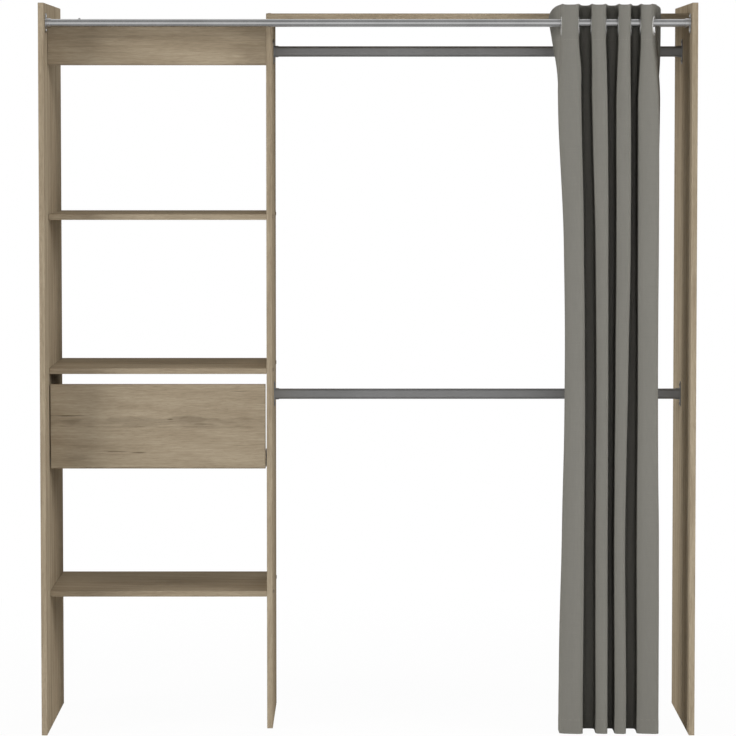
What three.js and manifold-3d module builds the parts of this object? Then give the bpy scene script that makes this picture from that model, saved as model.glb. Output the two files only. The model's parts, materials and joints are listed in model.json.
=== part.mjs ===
// Open wardrobe on three upright panels. The narrow left bay holds a fascia, three fixed shelves
// and a drawer on roller runners. The wide right bay holds a top board and two hanging rods.
// A round rod runs along the front from side to side and carries a gathered curtain on eyelets.
// Millimetres. X runs to the right, Y away from the viewer, Z up.
// The origin is on the floor, at the middle of the footprint.

import * as THREE from 'three';
import { mergeVertices } from 'three/addons/utils/BufferGeometryUtils.js';
import Module from 'manifold-3d';

const wasm = await Module();
wasm.setup();

// Boards
const overall_height = 2050;
const overall_depth = 600;
const board_thickness = 16;
const left_bay_width = 614;
const right_bay_width = 1171;
const inner_setback = 125;
const top_board_drop = 26.5;
const fascia_height = 129;
const upper_shelf_height = 1460;
const middle_shelf_height = 1025;
const lower_shelf_height = 392.5;

// Gap left between two pieces that rest on each other
const seat_gap = 0.3;
// How far a cutter runs past the face that it opens
const cutter_overrun = 2;

// Board screws, each with a domed cover cap on its head
const board_screw_diameter = 6.4;
const board_screw_length = 50;
const board_screw_tip = 4;
const board_screw_inset = 70;
const cap_diameter = 12;
const cap_height = 2.4;

// Small screws that hold rod flanges and rod supports
const small_screw_diameter = 3.5;
const small_screw_length = 11;
const small_screw_tip = 2;
const small_head_diameter = 7;
const small_head_height = 2;

// Curtain rod and its end flanges
const curtain_rod_diameter = 22;
const curtain_rod_wall = 1;
const curtain_rod_drop = 55;
const curtain_rod_setback = 62;
const flange_diameter = 56;
const flange_plate = 2;
const flange_cup_depth = 13;
const flange_cup_wall = 2;
const flange_screw_radius = 19.5;
const stop_button_inset = 95;
const stop_button_diameter = 7;
const stop_button_height = 3.6;

// Oval hanging rods and their supports
const hanging_rod_height = 30;
const hanging_rod_width = 15;
const hanging_rod_wall = 1.2;
const upper_hanging_drop = 129.5;
const lower_hanging_height = 938;
const hanging_rod_setback = 338;
const support_height = 72;
const support_width = 28;
const support_plate = 2;
const support_socket_depth = 12;
const support_socket_wall = 1.8;
const support_screw_spacing = 54;

// Drawer
const drawer_front_height = 239;
const drawer_finger_gap = 29;
const drawer_front_reveal = 3;
const drawer_side_height = 160;
const drawer_side_thickness = 12;
const drawer_side_length = 380;
const drawer_front_overhang = 8;
const drawer_bottom_thickness = 3;
const drawer_bottom_rise = 10;
const drawer_groove_depth = 6;

// Roller runners. Heights in a rail are measured from the underside of the cabinet rail.
const runner_space = 13;
const runner_length = 350;
const rail_sheet = 1.2;
const rail_height = 22;
const rail_edge_lip = 2.5;
const rail_side_play = 0.6;
const drawer_rail_foot = 11;
const roller_diameter = 15;
const roller_width = 6;
const roller_bore_gap = 0.3;
const roller_track_gap = 0.3;
const roller_edge_round = 0.8;
const axle_diameter = 5;
const axle_head_diameter = 7.5;
const axle_head_thickness = 0.8;
const axle_end_inset = 11;
const roller_side_gap = 0.3;

// Curtain: one cloth in deep even folds, with an eyelet where each fold crosses the rod
const cloth_thickness = 1.6;
const curtain_gathered_width = 316;
const curtain_side_gap = 80;
const curtain_floor_gap = 2;
const curtain_waist_height = 954;
const curtain_header = 60;
const curtain_corner_droop = 38;
const fold_bend_depth = 18.5;
const eyelet_bore = 40;
const eyelet_rim = 6.8;
const eyelet_sheet = 1.2;
const eyelet_flat_margin = 1;

// Where the left edge, the eight crossings and the right edge lie, as shares of the gathered width
const rod_crossing_shares = [0, 0.114, 0.266, 0.377, 0.506, 0.614, 0.725, 0.81, 0.93, 1];
const waist_crossing_shares = [0.155, 0.212, 0.322, 0.428, 0.529, 0.596, 0.703, 0.795, 0.918, 0.967];
const hem_crossing_shares = [0.108, 0.174, 0.313, 0.431, 0.532, 0.599, 0.695, 0.797, 0.924, 0.989];
// Levels between the header and the waist, and between the waist and the hem
const upper_level_shares = [0, 0.1, 0.31, 0.63, 1];
const lower_level_shares = [0.5, 1];

// How finely round shapes are stepped
const rod_sides = 24;
const oval_half_sides = 6;
const flange_sides = 28;
const eyelet_sides = 16;
const screw_sides = 10;
const roller_sides = 20;
const bend_steps = 5;
const flap_steps = 4;

// Places that follow from the sizes
const overall_width = left_bay_width + right_bay_width + 3 * board_thickness;
const front_y = -overall_depth / 2;
const back_y = overall_depth / 2;
const inner_front_y = front_y + inner_setback;
const left_outer_x = -overall_width / 2;
const left_inner_x = left_outer_x + board_thickness;
const partition_left_x = left_inner_x + left_bay_width;
const partition_right_x = partition_left_x + board_thickness;
const right_inner_x = partition_right_x + right_bay_width;
const right_outer_x = right_inner_x + board_thickness;
const top_board_top_z = overall_height - top_board_drop;
const top_board_bottom_z = top_board_top_z - board_thickness;
const middle_shelf_bottom_z = middle_shelf_height - board_thickness;
const curtain_rod_y = front_y + curtain_rod_setback;
const curtain_rod_z = overall_height - curtain_rod_drop;
const hanging_rod_y = front_y + hanging_rod_setback;
const upper_hanging_z = overall_height - upper_hanging_drop;
const screw_depths = [inner_front_y + board_screw_inset, back_y - board_screw_inset];

// Finishes
const oak_board = new THREE.MeshStandardMaterial({ color: 0x9a8d78, roughness: 0.65, metalness: 0 });
const drawer_board = new THREE.MeshStandardMaterial({ color: 0xa39782, roughness: 0.7, metalness: 0 });
const hardboard = new THREE.MeshStandardMaterial({ color: 0x8d7b62, roughness: 0.8, metalness: 0 });
const satin_steel = new THREE.MeshStandardMaterial({ color: 0x9b9b9a, roughness: 0.35, metalness: 1 });
const bright_steel = new THREE.MeshStandardMaterial({ color: 0xd8d8d6, roughness: 0.2, metalness: 1 });
const zinc_sheet = new THREE.MeshStandardMaterial({ color: 0x77736c, roughness: 0.5, metalness: 1 });
const white_nylon = new THREE.MeshStandardMaterial({ color: 0xdedbd2, roughness: 0.5, metalness: 0 });
const cap_plastic = new THREE.MeshStandardMaterial({ color: 0x8a7f6c, roughness: 0.5, metalness: 0 });
const grey_cloth = new THREE.MeshStandardMaterial({ color: 0x84837c, roughness: 0.95, metalness: 0 });

const wardrobe = new THREE.Group();

// Turns the faces of a closed geometry outwards if they point in.
function facing_out(geometry) {
  const place = geometry.getAttribute('position');
  const corner = geometry.index ? geometry.index.array : [...Array(place.count).keys()];
  const [a, b, c] = [new THREE.Vector3(), new THREE.Vector3(), new THREE.Vector3()];
  let volume = 0;
  for (let i = 0; i < corner.length; i += 3) {
    a.fromBufferAttribute(place, corner[i]);
    b.fromBufferAttribute(place, corner[i + 1]);
    c.fromBufferAttribute(place, corner[i + 2]);
    volume += a.dot(b.cross(c));
  }
  if (volume < 0) {
    const turned = Array.from(corner);
    for (let i = 0; i < turned.length; i += 3) {
      [turned[i], turned[i + 1]] = [turned[i + 1], turned[i]];
    }
    geometry.setIndex(turned);
  }
  return geometry;
}

// A closed geometry as a solid that can be cut and joined.
function solid(geometry) {
  const bare = new THREE.BufferGeometry();
  bare.setAttribute('position', geometry.getAttribute('position').clone());
  if (geometry.index) {
    bare.setIndex(Array.from(geometry.index.array));
  }
  const merged = facing_out(mergeVertices(bare));
  const vertProperties = Float32Array.from(merged.getAttribute('position').array);
  const triVerts = Uint32Array.from(merged.index.array);
  return new wasm.Manifold(new wasm.Mesh({ numProp: 3, vertProperties, triVerts }));
}

// A solid back as a geometry.
function geometry_of(body) {
  const mesh = body.getMesh();
  const geometry = new THREE.BufferGeometry();
  geometry.setAttribute('position', new THREE.BufferAttribute(Float32Array.from(mesh.vertProperties), 3));
  geometry.setIndex(Array.from(mesh.triVerts));
  return geometry;
}

function joined(first, ...others) {
  return geometry_of(others.reduce((body, other) => body.add(solid(other)), solid(first)));
}

function cut(first, ...cutters) {
  return geometry_of(cutters.reduce((body, cutter) => body.subtract(solid(cutter)), solid(first)));
}

// Adds a named piece to the wardrobe.
function place(name, geometry, material, x = 0, y = 0, z = 0) {
  const mesh = new THREE.Mesh(geometry, material);
  mesh.name = name;
  mesh.position.set(x, y, z);
  wardrobe.add(mesh);
  return mesh;
}

// A round hole or shaft along X, Y or Z, centred on the given point.
function round_bar(axis, radius, length, sides, x, y, z) {
  const bar = new THREE.CylinderGeometry(radius, radius, length, sides);
  if (axis === 'x') {
    bar.rotateZ(Math.PI / 2);
  } else if (axis === 'z') {
    bar.rotateX(Math.PI / 2);
  }
  return bar.translate(x, y, z);
}

// A solid of revolution about X from a profile of [distance along X, radius] points.
function turned_on_x(profile, sides) {
  const outline = profile.map(([along, radius]) => new THREE.Vector2(radius, along));
  const turned = new THREE.LatheGeometry(outline, sides);
  return facing_out(turned.rotateZ(-Math.PI / 2));
}

// A block between two corners, as a geometry in the wardrobe's frame.
function block(low, high) {
  const [width, depth, height] = high.map((value, i) => value - low[i]);
  const middle = high.map((value, i) => (value + low[i]) / 2);
  return new THREE.BoxGeometry(width, depth, height).translate(...middle);
}

// A board between two corners, with holes and grooves given in the wardrobe's frame.
function board(name, material, low, high, cutters = []) {
  const middle = high.map((value, i) => (value + low[i]) / 2);
  let shape = block(low, high);
  if (cutters.length > 0) {
    shape = cut(shape, ...cutters);
  }
  shape.translate(-middle[0], -middle[1], -middle[2]);
  return place(name, shape, material, ...middle);
}

// Every screw of the boards: its node's name, the point under its head, and the way it is driven.
const board_screws = [];

function add_board_screw(name, head, axis, way) {
  board_screws.push({ name, head, axis, way });
}

const shelf_tops = { upper: upper_shelf_height, middle: middle_shelf_height, lower: lower_shelf_height };
for (const [level, top] of Object.entries(shelf_tops)) {
  const z = top - board_thickness / 2;
  screw_depths.forEach((y, i) => {
    const end = i === 0 ? 'front' : 'rear';
    add_board_screw(`${level}_shelf_screw_left_${end}`, [left_outer_x, y, z], 'x', 1);
    add_board_screw(`${level}_shelf_screw_right_${end}`, [partition_right_x, y, z], 'x', -1);
  });
}
const fascia_bottom_z = top_board_bottom_z - fascia_height;
const fascia_screw_z = (top_board_bottom_z + fascia_bottom_z) / 2;
const fascia_middle_y = inner_front_y + board_thickness / 2;
add_board_screw('fascia_screw_left', [left_outer_x, fascia_middle_y, fascia_screw_z], 'x', 1);
add_board_screw('fascia_screw_right', [partition_right_x, fascia_middle_y, fascia_screw_z], 'x', -1);
const top_board_middle_z = (top_board_top_z + top_board_bottom_z) / 2;
const partition_middle_x = (partition_left_x + partition_right_x) / 2;
screw_depths.forEach((y, i) => {
  const end = i === 0 ? 'front' : 'rear';
  add_board_screw(`top_board_screw_left_${end}`, [partition_middle_x, y, top_board_top_z], 'z', -1);
  add_board_screw(`top_board_screw_right_${end}`, [right_outer_x, y, top_board_middle_z], 'x', -1);
});

// The hole that a board screw needs, through both boards that it joins.
function board_screw_hole({ head, axis, way }) {
  const radius = board_screw_diameter / 2 + seat_gap;
  const length = board_screw_length + seat_gap + cutter_overrun;
  const middle = way * (length / 2 - cutter_overrun);
  const shift = axis === 'x' ? [middle, 0, 0] : [0, 0, middle];
  return round_bar(axis, radius, length, screw_sides, ...head.map((value, i) => value + shift[i]));
}

// A screw with a domed head about the X axis, its head's underside at zero and its shank along +X.
function screw_on_x(shank_radius, length, tip, head_radius, head_height, seat) {
  const shoulder_share = 0.85;
  const crown_share = 0.55;
  return turned_on_x([
    [length, 0],
    [length - tip, shank_radius],
    [-seat, shank_radius],
    [-seat, head_radius],
    [-seat - head_height * crown_share, head_radius * shoulder_share],
    [-seat - head_height, 0],
  ], screw_sides);
}

function make_board_screws() {
  for (const { name, head, axis, way } of board_screws) {
    const shape = screw_on_x(
      board_screw_diameter / 2, board_screw_length, board_screw_tip,
      cap_diameter / 2, cap_height, seat_gap,
    );
    const mesh = place(name, shape, cap_plastic, ...head);
    if (axis === 'z') {
      mesh.rotation.y = Math.PI / 2;
    } else if (way < 0) {
      mesh.rotation.z = Math.PI;
    }
  }
}

// Small screws: the plate's outer face at the given X, driven towards `way` along X.
function small_screw(face_x, y, z, way, plate) {
  const shape = screw_on_x(
    small_screw_diameter / 2, plate + small_screw_length, small_screw_tip,
    small_head_diameter / 2, small_head_height, 0,
  );
  if (way < 0) {
    shape.rotateZ(Math.PI);
  }
  return shape.translate(face_x, y, z);
}

// The pilot hole of a small screw in a panel whose face is at the given X.
function small_hole(panel_x, y, z, way) {
  const length = small_screw_length + 2 * cutter_overrun;
  const radius = small_screw_diameter / 2 + seat_gap;
  return round_bar('x', radius, length, screw_sides, panel_x + way * (length / 2 - cutter_overrun), y, z);
}

// Heights of the two small screws of a flange or a support about its centre.
const flange_screw_heights = [-flange_screw_radius, flange_screw_radius];
const support_screw_heights = [-support_screw_spacing / 2, support_screw_spacing / 2];
const hanging_rod_heights = { upper: upper_hanging_z, lower: lower_hanging_height };

// Runner heights and places
const drawer_front_top_z = middle_shelf_bottom_z - drawer_finger_gap;
const drawer_front_bottom_z = drawer_front_top_z - drawer_front_height;
const drawer_box_bottom_z = drawer_front_bottom_z + drawer_front_overhang;
const drawer_side_bottom_z = drawer_box_bottom_z + seat_gap;
const roller_radius = roller_diameter / 2;
const track_top_rise = rail_sheet;
const roller_axis_rise = track_top_rise + roller_track_gap + roller_radius;
const running_lip_rise = roller_axis_rise + roller_radius + roller_track_gap;
const drawer_foot_rise = 2 * rail_sheet;
const rail_bottom_z = drawer_box_bottom_z - drawer_foot_rise - rail_sheet;
const runner_front_y = inner_front_y + board_thickness + seat_gap;
const runner_back_y = runner_front_y + runner_length;
const cabinet_axle_y = runner_front_y + axle_end_inset;
const drawer_axle_y = runner_back_y - axle_end_inset;
const axle_z = rail_bottom_z + roller_axis_rise;
// Distances from the panel's face towards the drawer
const cabinet_web_in = seat_gap;
const cabinet_web_out = cabinet_web_in + rail_sheet;
const drawer_web_out = runner_space - seat_gap;
const drawer_web_in = drawer_web_out - rail_sheet;
const cabinet_edge = drawer_web_in - rail_side_play;
const cabinet_roller_in = cabinet_web_out + roller_side_gap;
const drawer_roller_out = cabinet_edge - rail_sheet - roller_side_gap;
// The two sides of the drawer: the panel face that carries the runner, and the way to the drawer
const runner_sides = { left: { face: left_inner_x, way: 1 }, right: { face: partition_left_x, way: -1 } };

// Panels and shelves
function make_boards() {
  const screw_holes = board_screws.map(board_screw_hole);
  const touching = (test) => screw_holes.filter((_, i) => test(board_screws[i]));
  const flange_holes = (face_x, way) => flange_screw_heights.map(
    (rise) => small_hole(face_x, curtain_rod_y, curtain_rod_z + rise, way));
  const support_holes = (face_x, way) => Object.values(hanging_rod_heights).flatMap(
    (z) => support_screw_heights.map((rise) => small_hole(face_x, hanging_rod_y, z + rise, way)));

  board('side_panel_left', oak_board, [left_outer_x, front_y, 0], [left_inner_x, back_y, overall_height], [
    ...touching(({ head }) => head[0] === left_outer_x),
    ...flange_holes(left_inner_x, -1),
  ]);
  board('side_panel_right', oak_board, [right_inner_x, front_y, 0], [right_outer_x, back_y, overall_height], [
    ...touching(({ head }) => head[0] === right_outer_x),
    ...flange_holes(right_inner_x, 1),
    ...support_holes(right_inner_x, 1),
  ]);
  board('partition', oak_board, [partition_left_x, inner_front_y, 0],
    [partition_right_x, back_y, top_board_bottom_z - seat_gap], [
      ...touching(({ head }) => head[0] === partition_right_x || head[0] === partition_middle_x),
      ...support_holes(partition_right_x, -1),
    ]);
  board('top_board', oak_board, [partition_left_x, inner_front_y, top_board_bottom_z],
    [right_inner_x - seat_gap, back_y, top_board_top_z],
    touching(({ name }) => name.startsWith('top_board')));
  board('fascia', oak_board, [left_inner_x + seat_gap, inner_front_y, fascia_bottom_z],
    [partition_left_x - seat_gap, inner_front_y + board_thickness, top_board_bottom_z - seat_gap],
    touching(({ name }) => name.startsWith('fascia')));
  for (const [level, top] of Object.entries(shelf_tops)) {
    board(`${level}_shelf`, oak_board, [left_inner_x + seat_gap, inner_front_y, top - board_thickness],
      [partition_left_x - seat_gap, back_y, top],
      touching(({ name }) => name.startsWith(`${level}_shelf`)));
  }
}

// The round rod with its stop button, and the flange that holds each end
function make_curtain_rod() {
  const radius = curtain_rod_diameter / 2;
  const half = (right_inner_x - left_inner_x) / 2 - flange_plate - 2 * seat_gap;
  const middle_x = (right_inner_x + left_inner_x) / 2;
  const bore = radius - curtain_rod_wall;
  const tube = turned_on_x([[-half, bore], [-half, radius], [half, radius], [half, bore], [-half, bore]],
    rod_sides);
  place('curtain_rod', tube, satin_steel, middle_x, curtain_rod_y, curtain_rod_z);

  const crown_share = 0.6;
  const shoulder_share = 0.8;
  const button_radius = stop_button_diameter / 2;
  const button = new THREE.LatheGeometry([
    new THREE.Vector2(0, 0),
    new THREE.Vector2(button_radius, 0),
    new THREE.Vector2(button_radius * shoulder_share, stop_button_height * crown_share),
    new THREE.Vector2(0, stop_button_height),
  ], screw_sides).rotateX(Math.PI / 2);
  const skin_length = stop_button_diameter + 2 * cutter_overrun;
  const rod_skin = round_bar('x', radius + seat_gap, skin_length, 2 * rod_sides, 0, 0, 0);
  const button_foot = Math.sqrt(radius ** 2 - button_radius ** 2);
  place('curtain_rod_stop_button', cut(facing_out(button).translate(0, 0, button_foot), rod_skin), satin_steel,
    left_inner_x + stop_button_inset, curtain_rod_y, curtain_rod_z);

  for (const [side, face, way] of [['left', left_inner_x, 1], ['right', right_inner_x, -1]]) {
    const cup_bore = radius + seat_gap;
    const cup_radius = cup_bore + flange_cup_wall;
    const plate_in = seat_gap;
    const plate_out = plate_in + flange_plate;
    const profile = [
      [plate_in, 0],
      [plate_in, flange_diameter / 2],
      [plate_out, flange_diameter / 2],
      [plate_out, cup_radius],
      [plate_out + flange_cup_depth, cup_radius],
      [plate_out + flange_cup_depth, cup_bore],
      [plate_out, cup_bore],
      [plate_out, 0],
    ].map(([along, at]) => [along * way, at]);
    const screws = flange_screw_heights.map((rise) => small_screw(plate_out * way, 0, rise, -way, plate_out));
    place(`curtain_rod_flange_${side}`, joined(turned_on_x(profile, flange_sides), ...screws), satin_steel,
      face, curtain_rod_y, curtain_rod_z);
  }
}

// An upright stadium in the Y and Z directions, as a shape to extrude along X.
function stadium(width, height, hole = null) {
  const trace = (path, half_width, half_height) => {
    const straight = half_height - half_width;
    path.absarc(0, straight, half_width, 0, Math.PI, false);
    path.absarc(0, -straight, half_width, Math.PI, 2 * Math.PI, false);
    path.closePath();
    return path;
  };
  const shape = trace(new THREE.Shape(), width / 2, height / 2);
  if (hole) {
    shape.holes.push(trace(new THREE.Path(), width / 2 - hole, height / 2 - hole));
  }
  return shape;
}

// A shape drawn in Y and Z, extruded from the first X to the second.
function along_x(shape, from, to) {
  const length = Math.abs(to - from);
  const settings = { depth: length, bevelEnabled: false, curveSegments: oval_half_sides };
  const bar = new THREE.ExtrudeGeometry(shape, settings);
  return bar.rotateX(Math.PI / 2).rotateZ(Math.PI / 2).translate(Math.min(from, to), 0, 0);
}

// Two oval rods, each held by a socketed support at both ends
function make_hanging_rods() {
  const inset = seat_gap + support_plate + seat_gap;
  const middle_x = (partition_right_x + right_inner_x) / 2;
  const half = right_bay_width / 2 - inset;
  for (const [level, z] of Object.entries(hanging_rod_heights)) {
    const tube = along_x(stadium(hanging_rod_width, hanging_rod_height, hanging_rod_wall), -half, half);
    place(`${level}_hanging_rod`, tube, satin_steel, middle_x, hanging_rod_y, z);
    for (const [side, face, way] of [['left', partition_right_x, 1], ['right', right_inner_x, -1]]) {
      const plate_in = seat_gap * way;
      const plate_out = (seat_gap + support_plate) * way;
      const mouth = (seat_gap + support_plate + support_socket_depth) * way;
      const grow = 2 * (seat_gap + support_socket_wall);
      const plate = along_x(stadium(support_width, support_height), plate_in, plate_out);
      const socket = along_x(
        stadium(hanging_rod_width + grow, hanging_rod_height + grow, support_socket_wall),
        plate_out - (support_plate / 2) * way, mouth);
      const screws = support_screw_heights.map(
        (rise) => small_screw(plate_out, 0, rise, -way, seat_gap + support_plate));
      place(`${level}_rod_support_${side}`, joined(plate, socket, ...screws), satin_steel,
        face, hanging_rod_y, z);
    }
  }
}

// Drawer box: front, sides, back and a thin bottom held in grooves
function make_drawer() {
  const front_left_x = left_inner_x + drawer_front_reveal;
  const front_right_x = partition_left_x - drawer_front_reveal;
  const box_left_x = left_inner_x + runner_space;
  const box_right_x = partition_left_x - runner_space;
  const inside_left_x = box_left_x + drawer_side_thickness;
  const inside_right_x = box_right_x - drawer_side_thickness;
  const box_front_y = inner_front_y + board_thickness + seat_gap;
  const box_back_y = box_front_y + drawer_side_length;
  const back_front_y = box_back_y - drawer_side_thickness;
  const side_top_z = drawer_side_bottom_z + drawer_side_height;
  const bottom_z = drawer_side_bottom_z + drawer_bottom_rise;
  const groove_low = bottom_z - seat_gap;
  const groove_high = bottom_z + drawer_bottom_thickness + seat_gap;
  const tongue = drawer_groove_depth - seat_gap;
  const groove = block(
    [inside_left_x - drawer_groove_depth, box_front_y - seat_gap - drawer_groove_depth, groove_low],
    [inside_right_x + drawer_groove_depth, back_front_y + drawer_groove_depth, groove_high]);

  board('drawer_front', oak_board, [front_left_x, inner_front_y, drawer_front_bottom_z],
    [front_right_x, inner_front_y + board_thickness, drawer_front_top_z], [groove]);
  board('drawer_side_left', drawer_board, [box_left_x, box_front_y, drawer_side_bottom_z],
    [inside_left_x, box_back_y, side_top_z], [groove]);
  board('drawer_side_right', drawer_board, [inside_right_x, box_front_y, drawer_side_bottom_z],
    [box_right_x, box_back_y, side_top_z], [groove]);
  board('drawer_back', drawer_board, [inside_left_x + seat_gap, back_front_y, drawer_side_bottom_z],
    [inside_right_x - seat_gap, box_back_y, side_top_z], [groove]);
  board('drawer_bottom', hardboard,
    [inside_left_x - tongue, box_front_y - seat_gap - tongue, bottom_z],
    [inside_right_x + tongue, back_front_y + tongue, bottom_z + drawer_bottom_thickness]);
}

// A rail profile of [distance from the panel's face, height] points, extruded along the runner.
function rail(points, way) {
  const outline = new THREE.Shape(points.map(([out, rise]) => new THREE.Vector2(out * way, rise)));
  const bar = new THREE.ExtrudeGeometry(outline, { depth: runner_length, bevelEnabled: false });
  return bar.rotateX(Math.PI / 2);
}

// An axle fixed to a rail at `from`, with a thin head past the roller's far side at `to`.
function axle(from, to, way, y) {
  const reach = Math.sign(to - from);
  const head_at = to + reach * roller_side_gap;
  const shank = [[from, 0], [from, axle_diameter / 2], [head_at, axle_diameter / 2]];
  const head_end = head_at + reach * axle_head_thickness;
  const head = [[head_at, axle_head_diameter / 2], [head_end, axle_head_diameter / 2], [head_end, 0]];
  const profile = [...shank, ...head].map(([out, radius]) => [out * way, radius]);
  return turned_on_x(profile, screw_sides).translate(0, y - runner_back_y, roller_axis_rise);
}

// Each side has a cabinet rail with a roller at its front and a drawer rail with one at its back
function make_runners() {
  const roller_profile = [
    [-roller_width / 2, axle_diameter / 2 + roller_bore_gap],
    [-roller_width / 2, roller_radius - roller_edge_round],
    [-roller_width / 2 + roller_edge_round, roller_radius],
    [roller_width / 2 - roller_edge_round, roller_radius],
    [roller_width / 2, roller_radius - roller_edge_round],
    [roller_width / 2, axle_diameter / 2 + roller_bore_gap],
    [-roller_width / 2, axle_diameter / 2 + roller_bore_gap],
  ];
  const lip_in = cabinet_web_out + rail_side_play;
  const foot_out = drawer_web_out + drawer_rail_foot;
  for (const [side, { face, way }] of Object.entries(runner_sides)) {
    const channel = rail([
      [cabinet_web_in, 0],
      [cabinet_edge, 0],
      [cabinet_edge, rail_sheet + rail_edge_lip],
      [cabinet_edge - rail_sheet, rail_sheet + rail_edge_lip],
      [cabinet_edge - rail_sheet, rail_sheet],
      [cabinet_web_out, rail_sheet],
      [cabinet_web_out, rail_height - rail_sheet],
      [cabinet_edge, rail_height - rail_sheet],
      [cabinet_edge, rail_height],
      [cabinet_web_in, rail_height],
    ], way);
    const cabinet_roller_end = cabinet_roller_in + roller_width;
    const cabinet_axle = axle(cabinet_web_in + rail_sheet / 2, cabinet_roller_end, way, cabinet_axle_y);
    place(`cabinet_runner_${side}`, joined(channel, cabinet_axle), zinc_sheet,
      face, runner_back_y, rail_bottom_z);

    const angle = rail([
      [drawer_web_in, drawer_foot_rise],
      [foot_out, drawer_foot_rise],
      [foot_out, drawer_foot_rise + rail_sheet],
      [drawer_web_out, drawer_foot_rise + rail_sheet],
      [drawer_web_out, running_lip_rise + rail_sheet],
      [lip_in, running_lip_rise + rail_sheet],
      [lip_in, running_lip_rise],
      [drawer_web_in, running_lip_rise],
    ], way);
    const drawer_roller_end = drawer_roller_out - roller_width;
    const drawer_axle = axle(drawer_web_out - rail_sheet / 2, drawer_roller_end, way, drawer_axle_y);
    place(`drawer_runner_${side}`, joined(angle, drawer_axle), zinc_sheet,
      face, runner_back_y, rail_bottom_z);

    place(`cabinet_roller_${side}`, turned_on_x(roller_profile, roller_sides), white_nylon,
      face + way * (cabinet_roller_in + roller_width / 2), cabinet_axle_y, axle_z);
    place(`drawer_roller_${side}`, turned_on_x(roller_profile, roller_sides), white_nylon,
      face + way * (drawer_roller_out - roller_width / 2), drawer_axle_y, axle_z);
  }
}

// Curtain places: the eyelets hang on the rod, and the cloth hangs from the eyelets
const curtain_left_x = right_inner_x - curtain_side_gap - curtain_gathered_width;
const eyelet_radius = eyelet_bore / 2;
const eyelet_flange_radius = eyelet_radius + eyelet_sheet + eyelet_rim;
const eyelet_z = curtain_rod_z + curtain_rod_diameter / 2 + seat_gap - eyelet_radius;
const curtain_top_z = eyelet_z + curtain_header;
const wall_half = eyelet_flange_radius + eyelet_flat_margin;
const header_bottom_z = eyelet_z - wall_half;

// The ten crossing places at a height, blended from rod to waist and from waist to hem.
function crossings_at(z) {
  const drop = THREE.MathUtils.clamp((header_bottom_z - z) / (header_bottom_z - curtain_waist_height), 0, 1);
  const fall = THREE.MathUtils.clamp((curtain_waist_height - z) / curtain_waist_height, 0, 1);
  const settle = 1 - (1 - drop) ** 3;
  const flare = (1 - Math.cos(Math.PI * fall)) / 2;
  return rod_crossing_shares.map((at_rod, i) => {
    const at_waist = waist_crossing_shares[i];
    const above = at_rod + (at_waist - at_rod) * settle;
    return curtain_left_x + curtain_gathered_width * (above + (hem_crossing_shares[i] - at_waist) * flare);
  });
}

// The cloth's middle line at a height, as [x, y, normal x, normal y], from the left edge to the right.
function fold_line(z) {
  const places = crossings_at(z);
  const line = [];
  const arc = (centre_x, centre_y, reach_x, reach_y, from, to, steps) => {
    for (let i = 0; i <= steps; i += 1) {
      const turn = from + ((to - from) * i) / steps;
      const [c, s] = [Math.cos(turn), Math.sin(turn)];
      const slope = Math.sign(to - from) / Math.hypot(c / reach_x, s / reach_y);
      line.push([centre_x + reach_x * c, centre_y + reach_y * s, (slope * c) / reach_x, (slope * s) / reach_y]);
    }
  };
  const last = places.length - 1;
  const far = wall_half;
  arc(places[0], far, places[1] - places[0], fold_bend_depth, Math.PI / 2, 0, flap_steps);
  for (let i = 1; i < last - 1; i += 1) {
    const centre = (places[i] + places[i + 1]) / 2;
    const reach = (places[i + 1] - places[i]) / 2;
    const front = i % 2 === 1;
    const from = front ? -Math.PI : Math.PI;
    arc(centre, front ? -far : far, reach, fold_bend_depth, from, 0, bend_steps);
  }
  arc(places[last], far, places[last] - places[last - 1], fold_bend_depth, Math.PI, Math.PI / 2, flap_steps);
  return line;
}

// How far the header's free top corners droop below its top, by step along the fold line.
function corner_droop(step, steps) {
  const from_end = Math.min(step, steps - step);
  const share = Math.max(0, 1 - from_end / flap_steps);
  return step <= flap_steps ? curtain_corner_droop * share ** 2 : 0;
}

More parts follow.
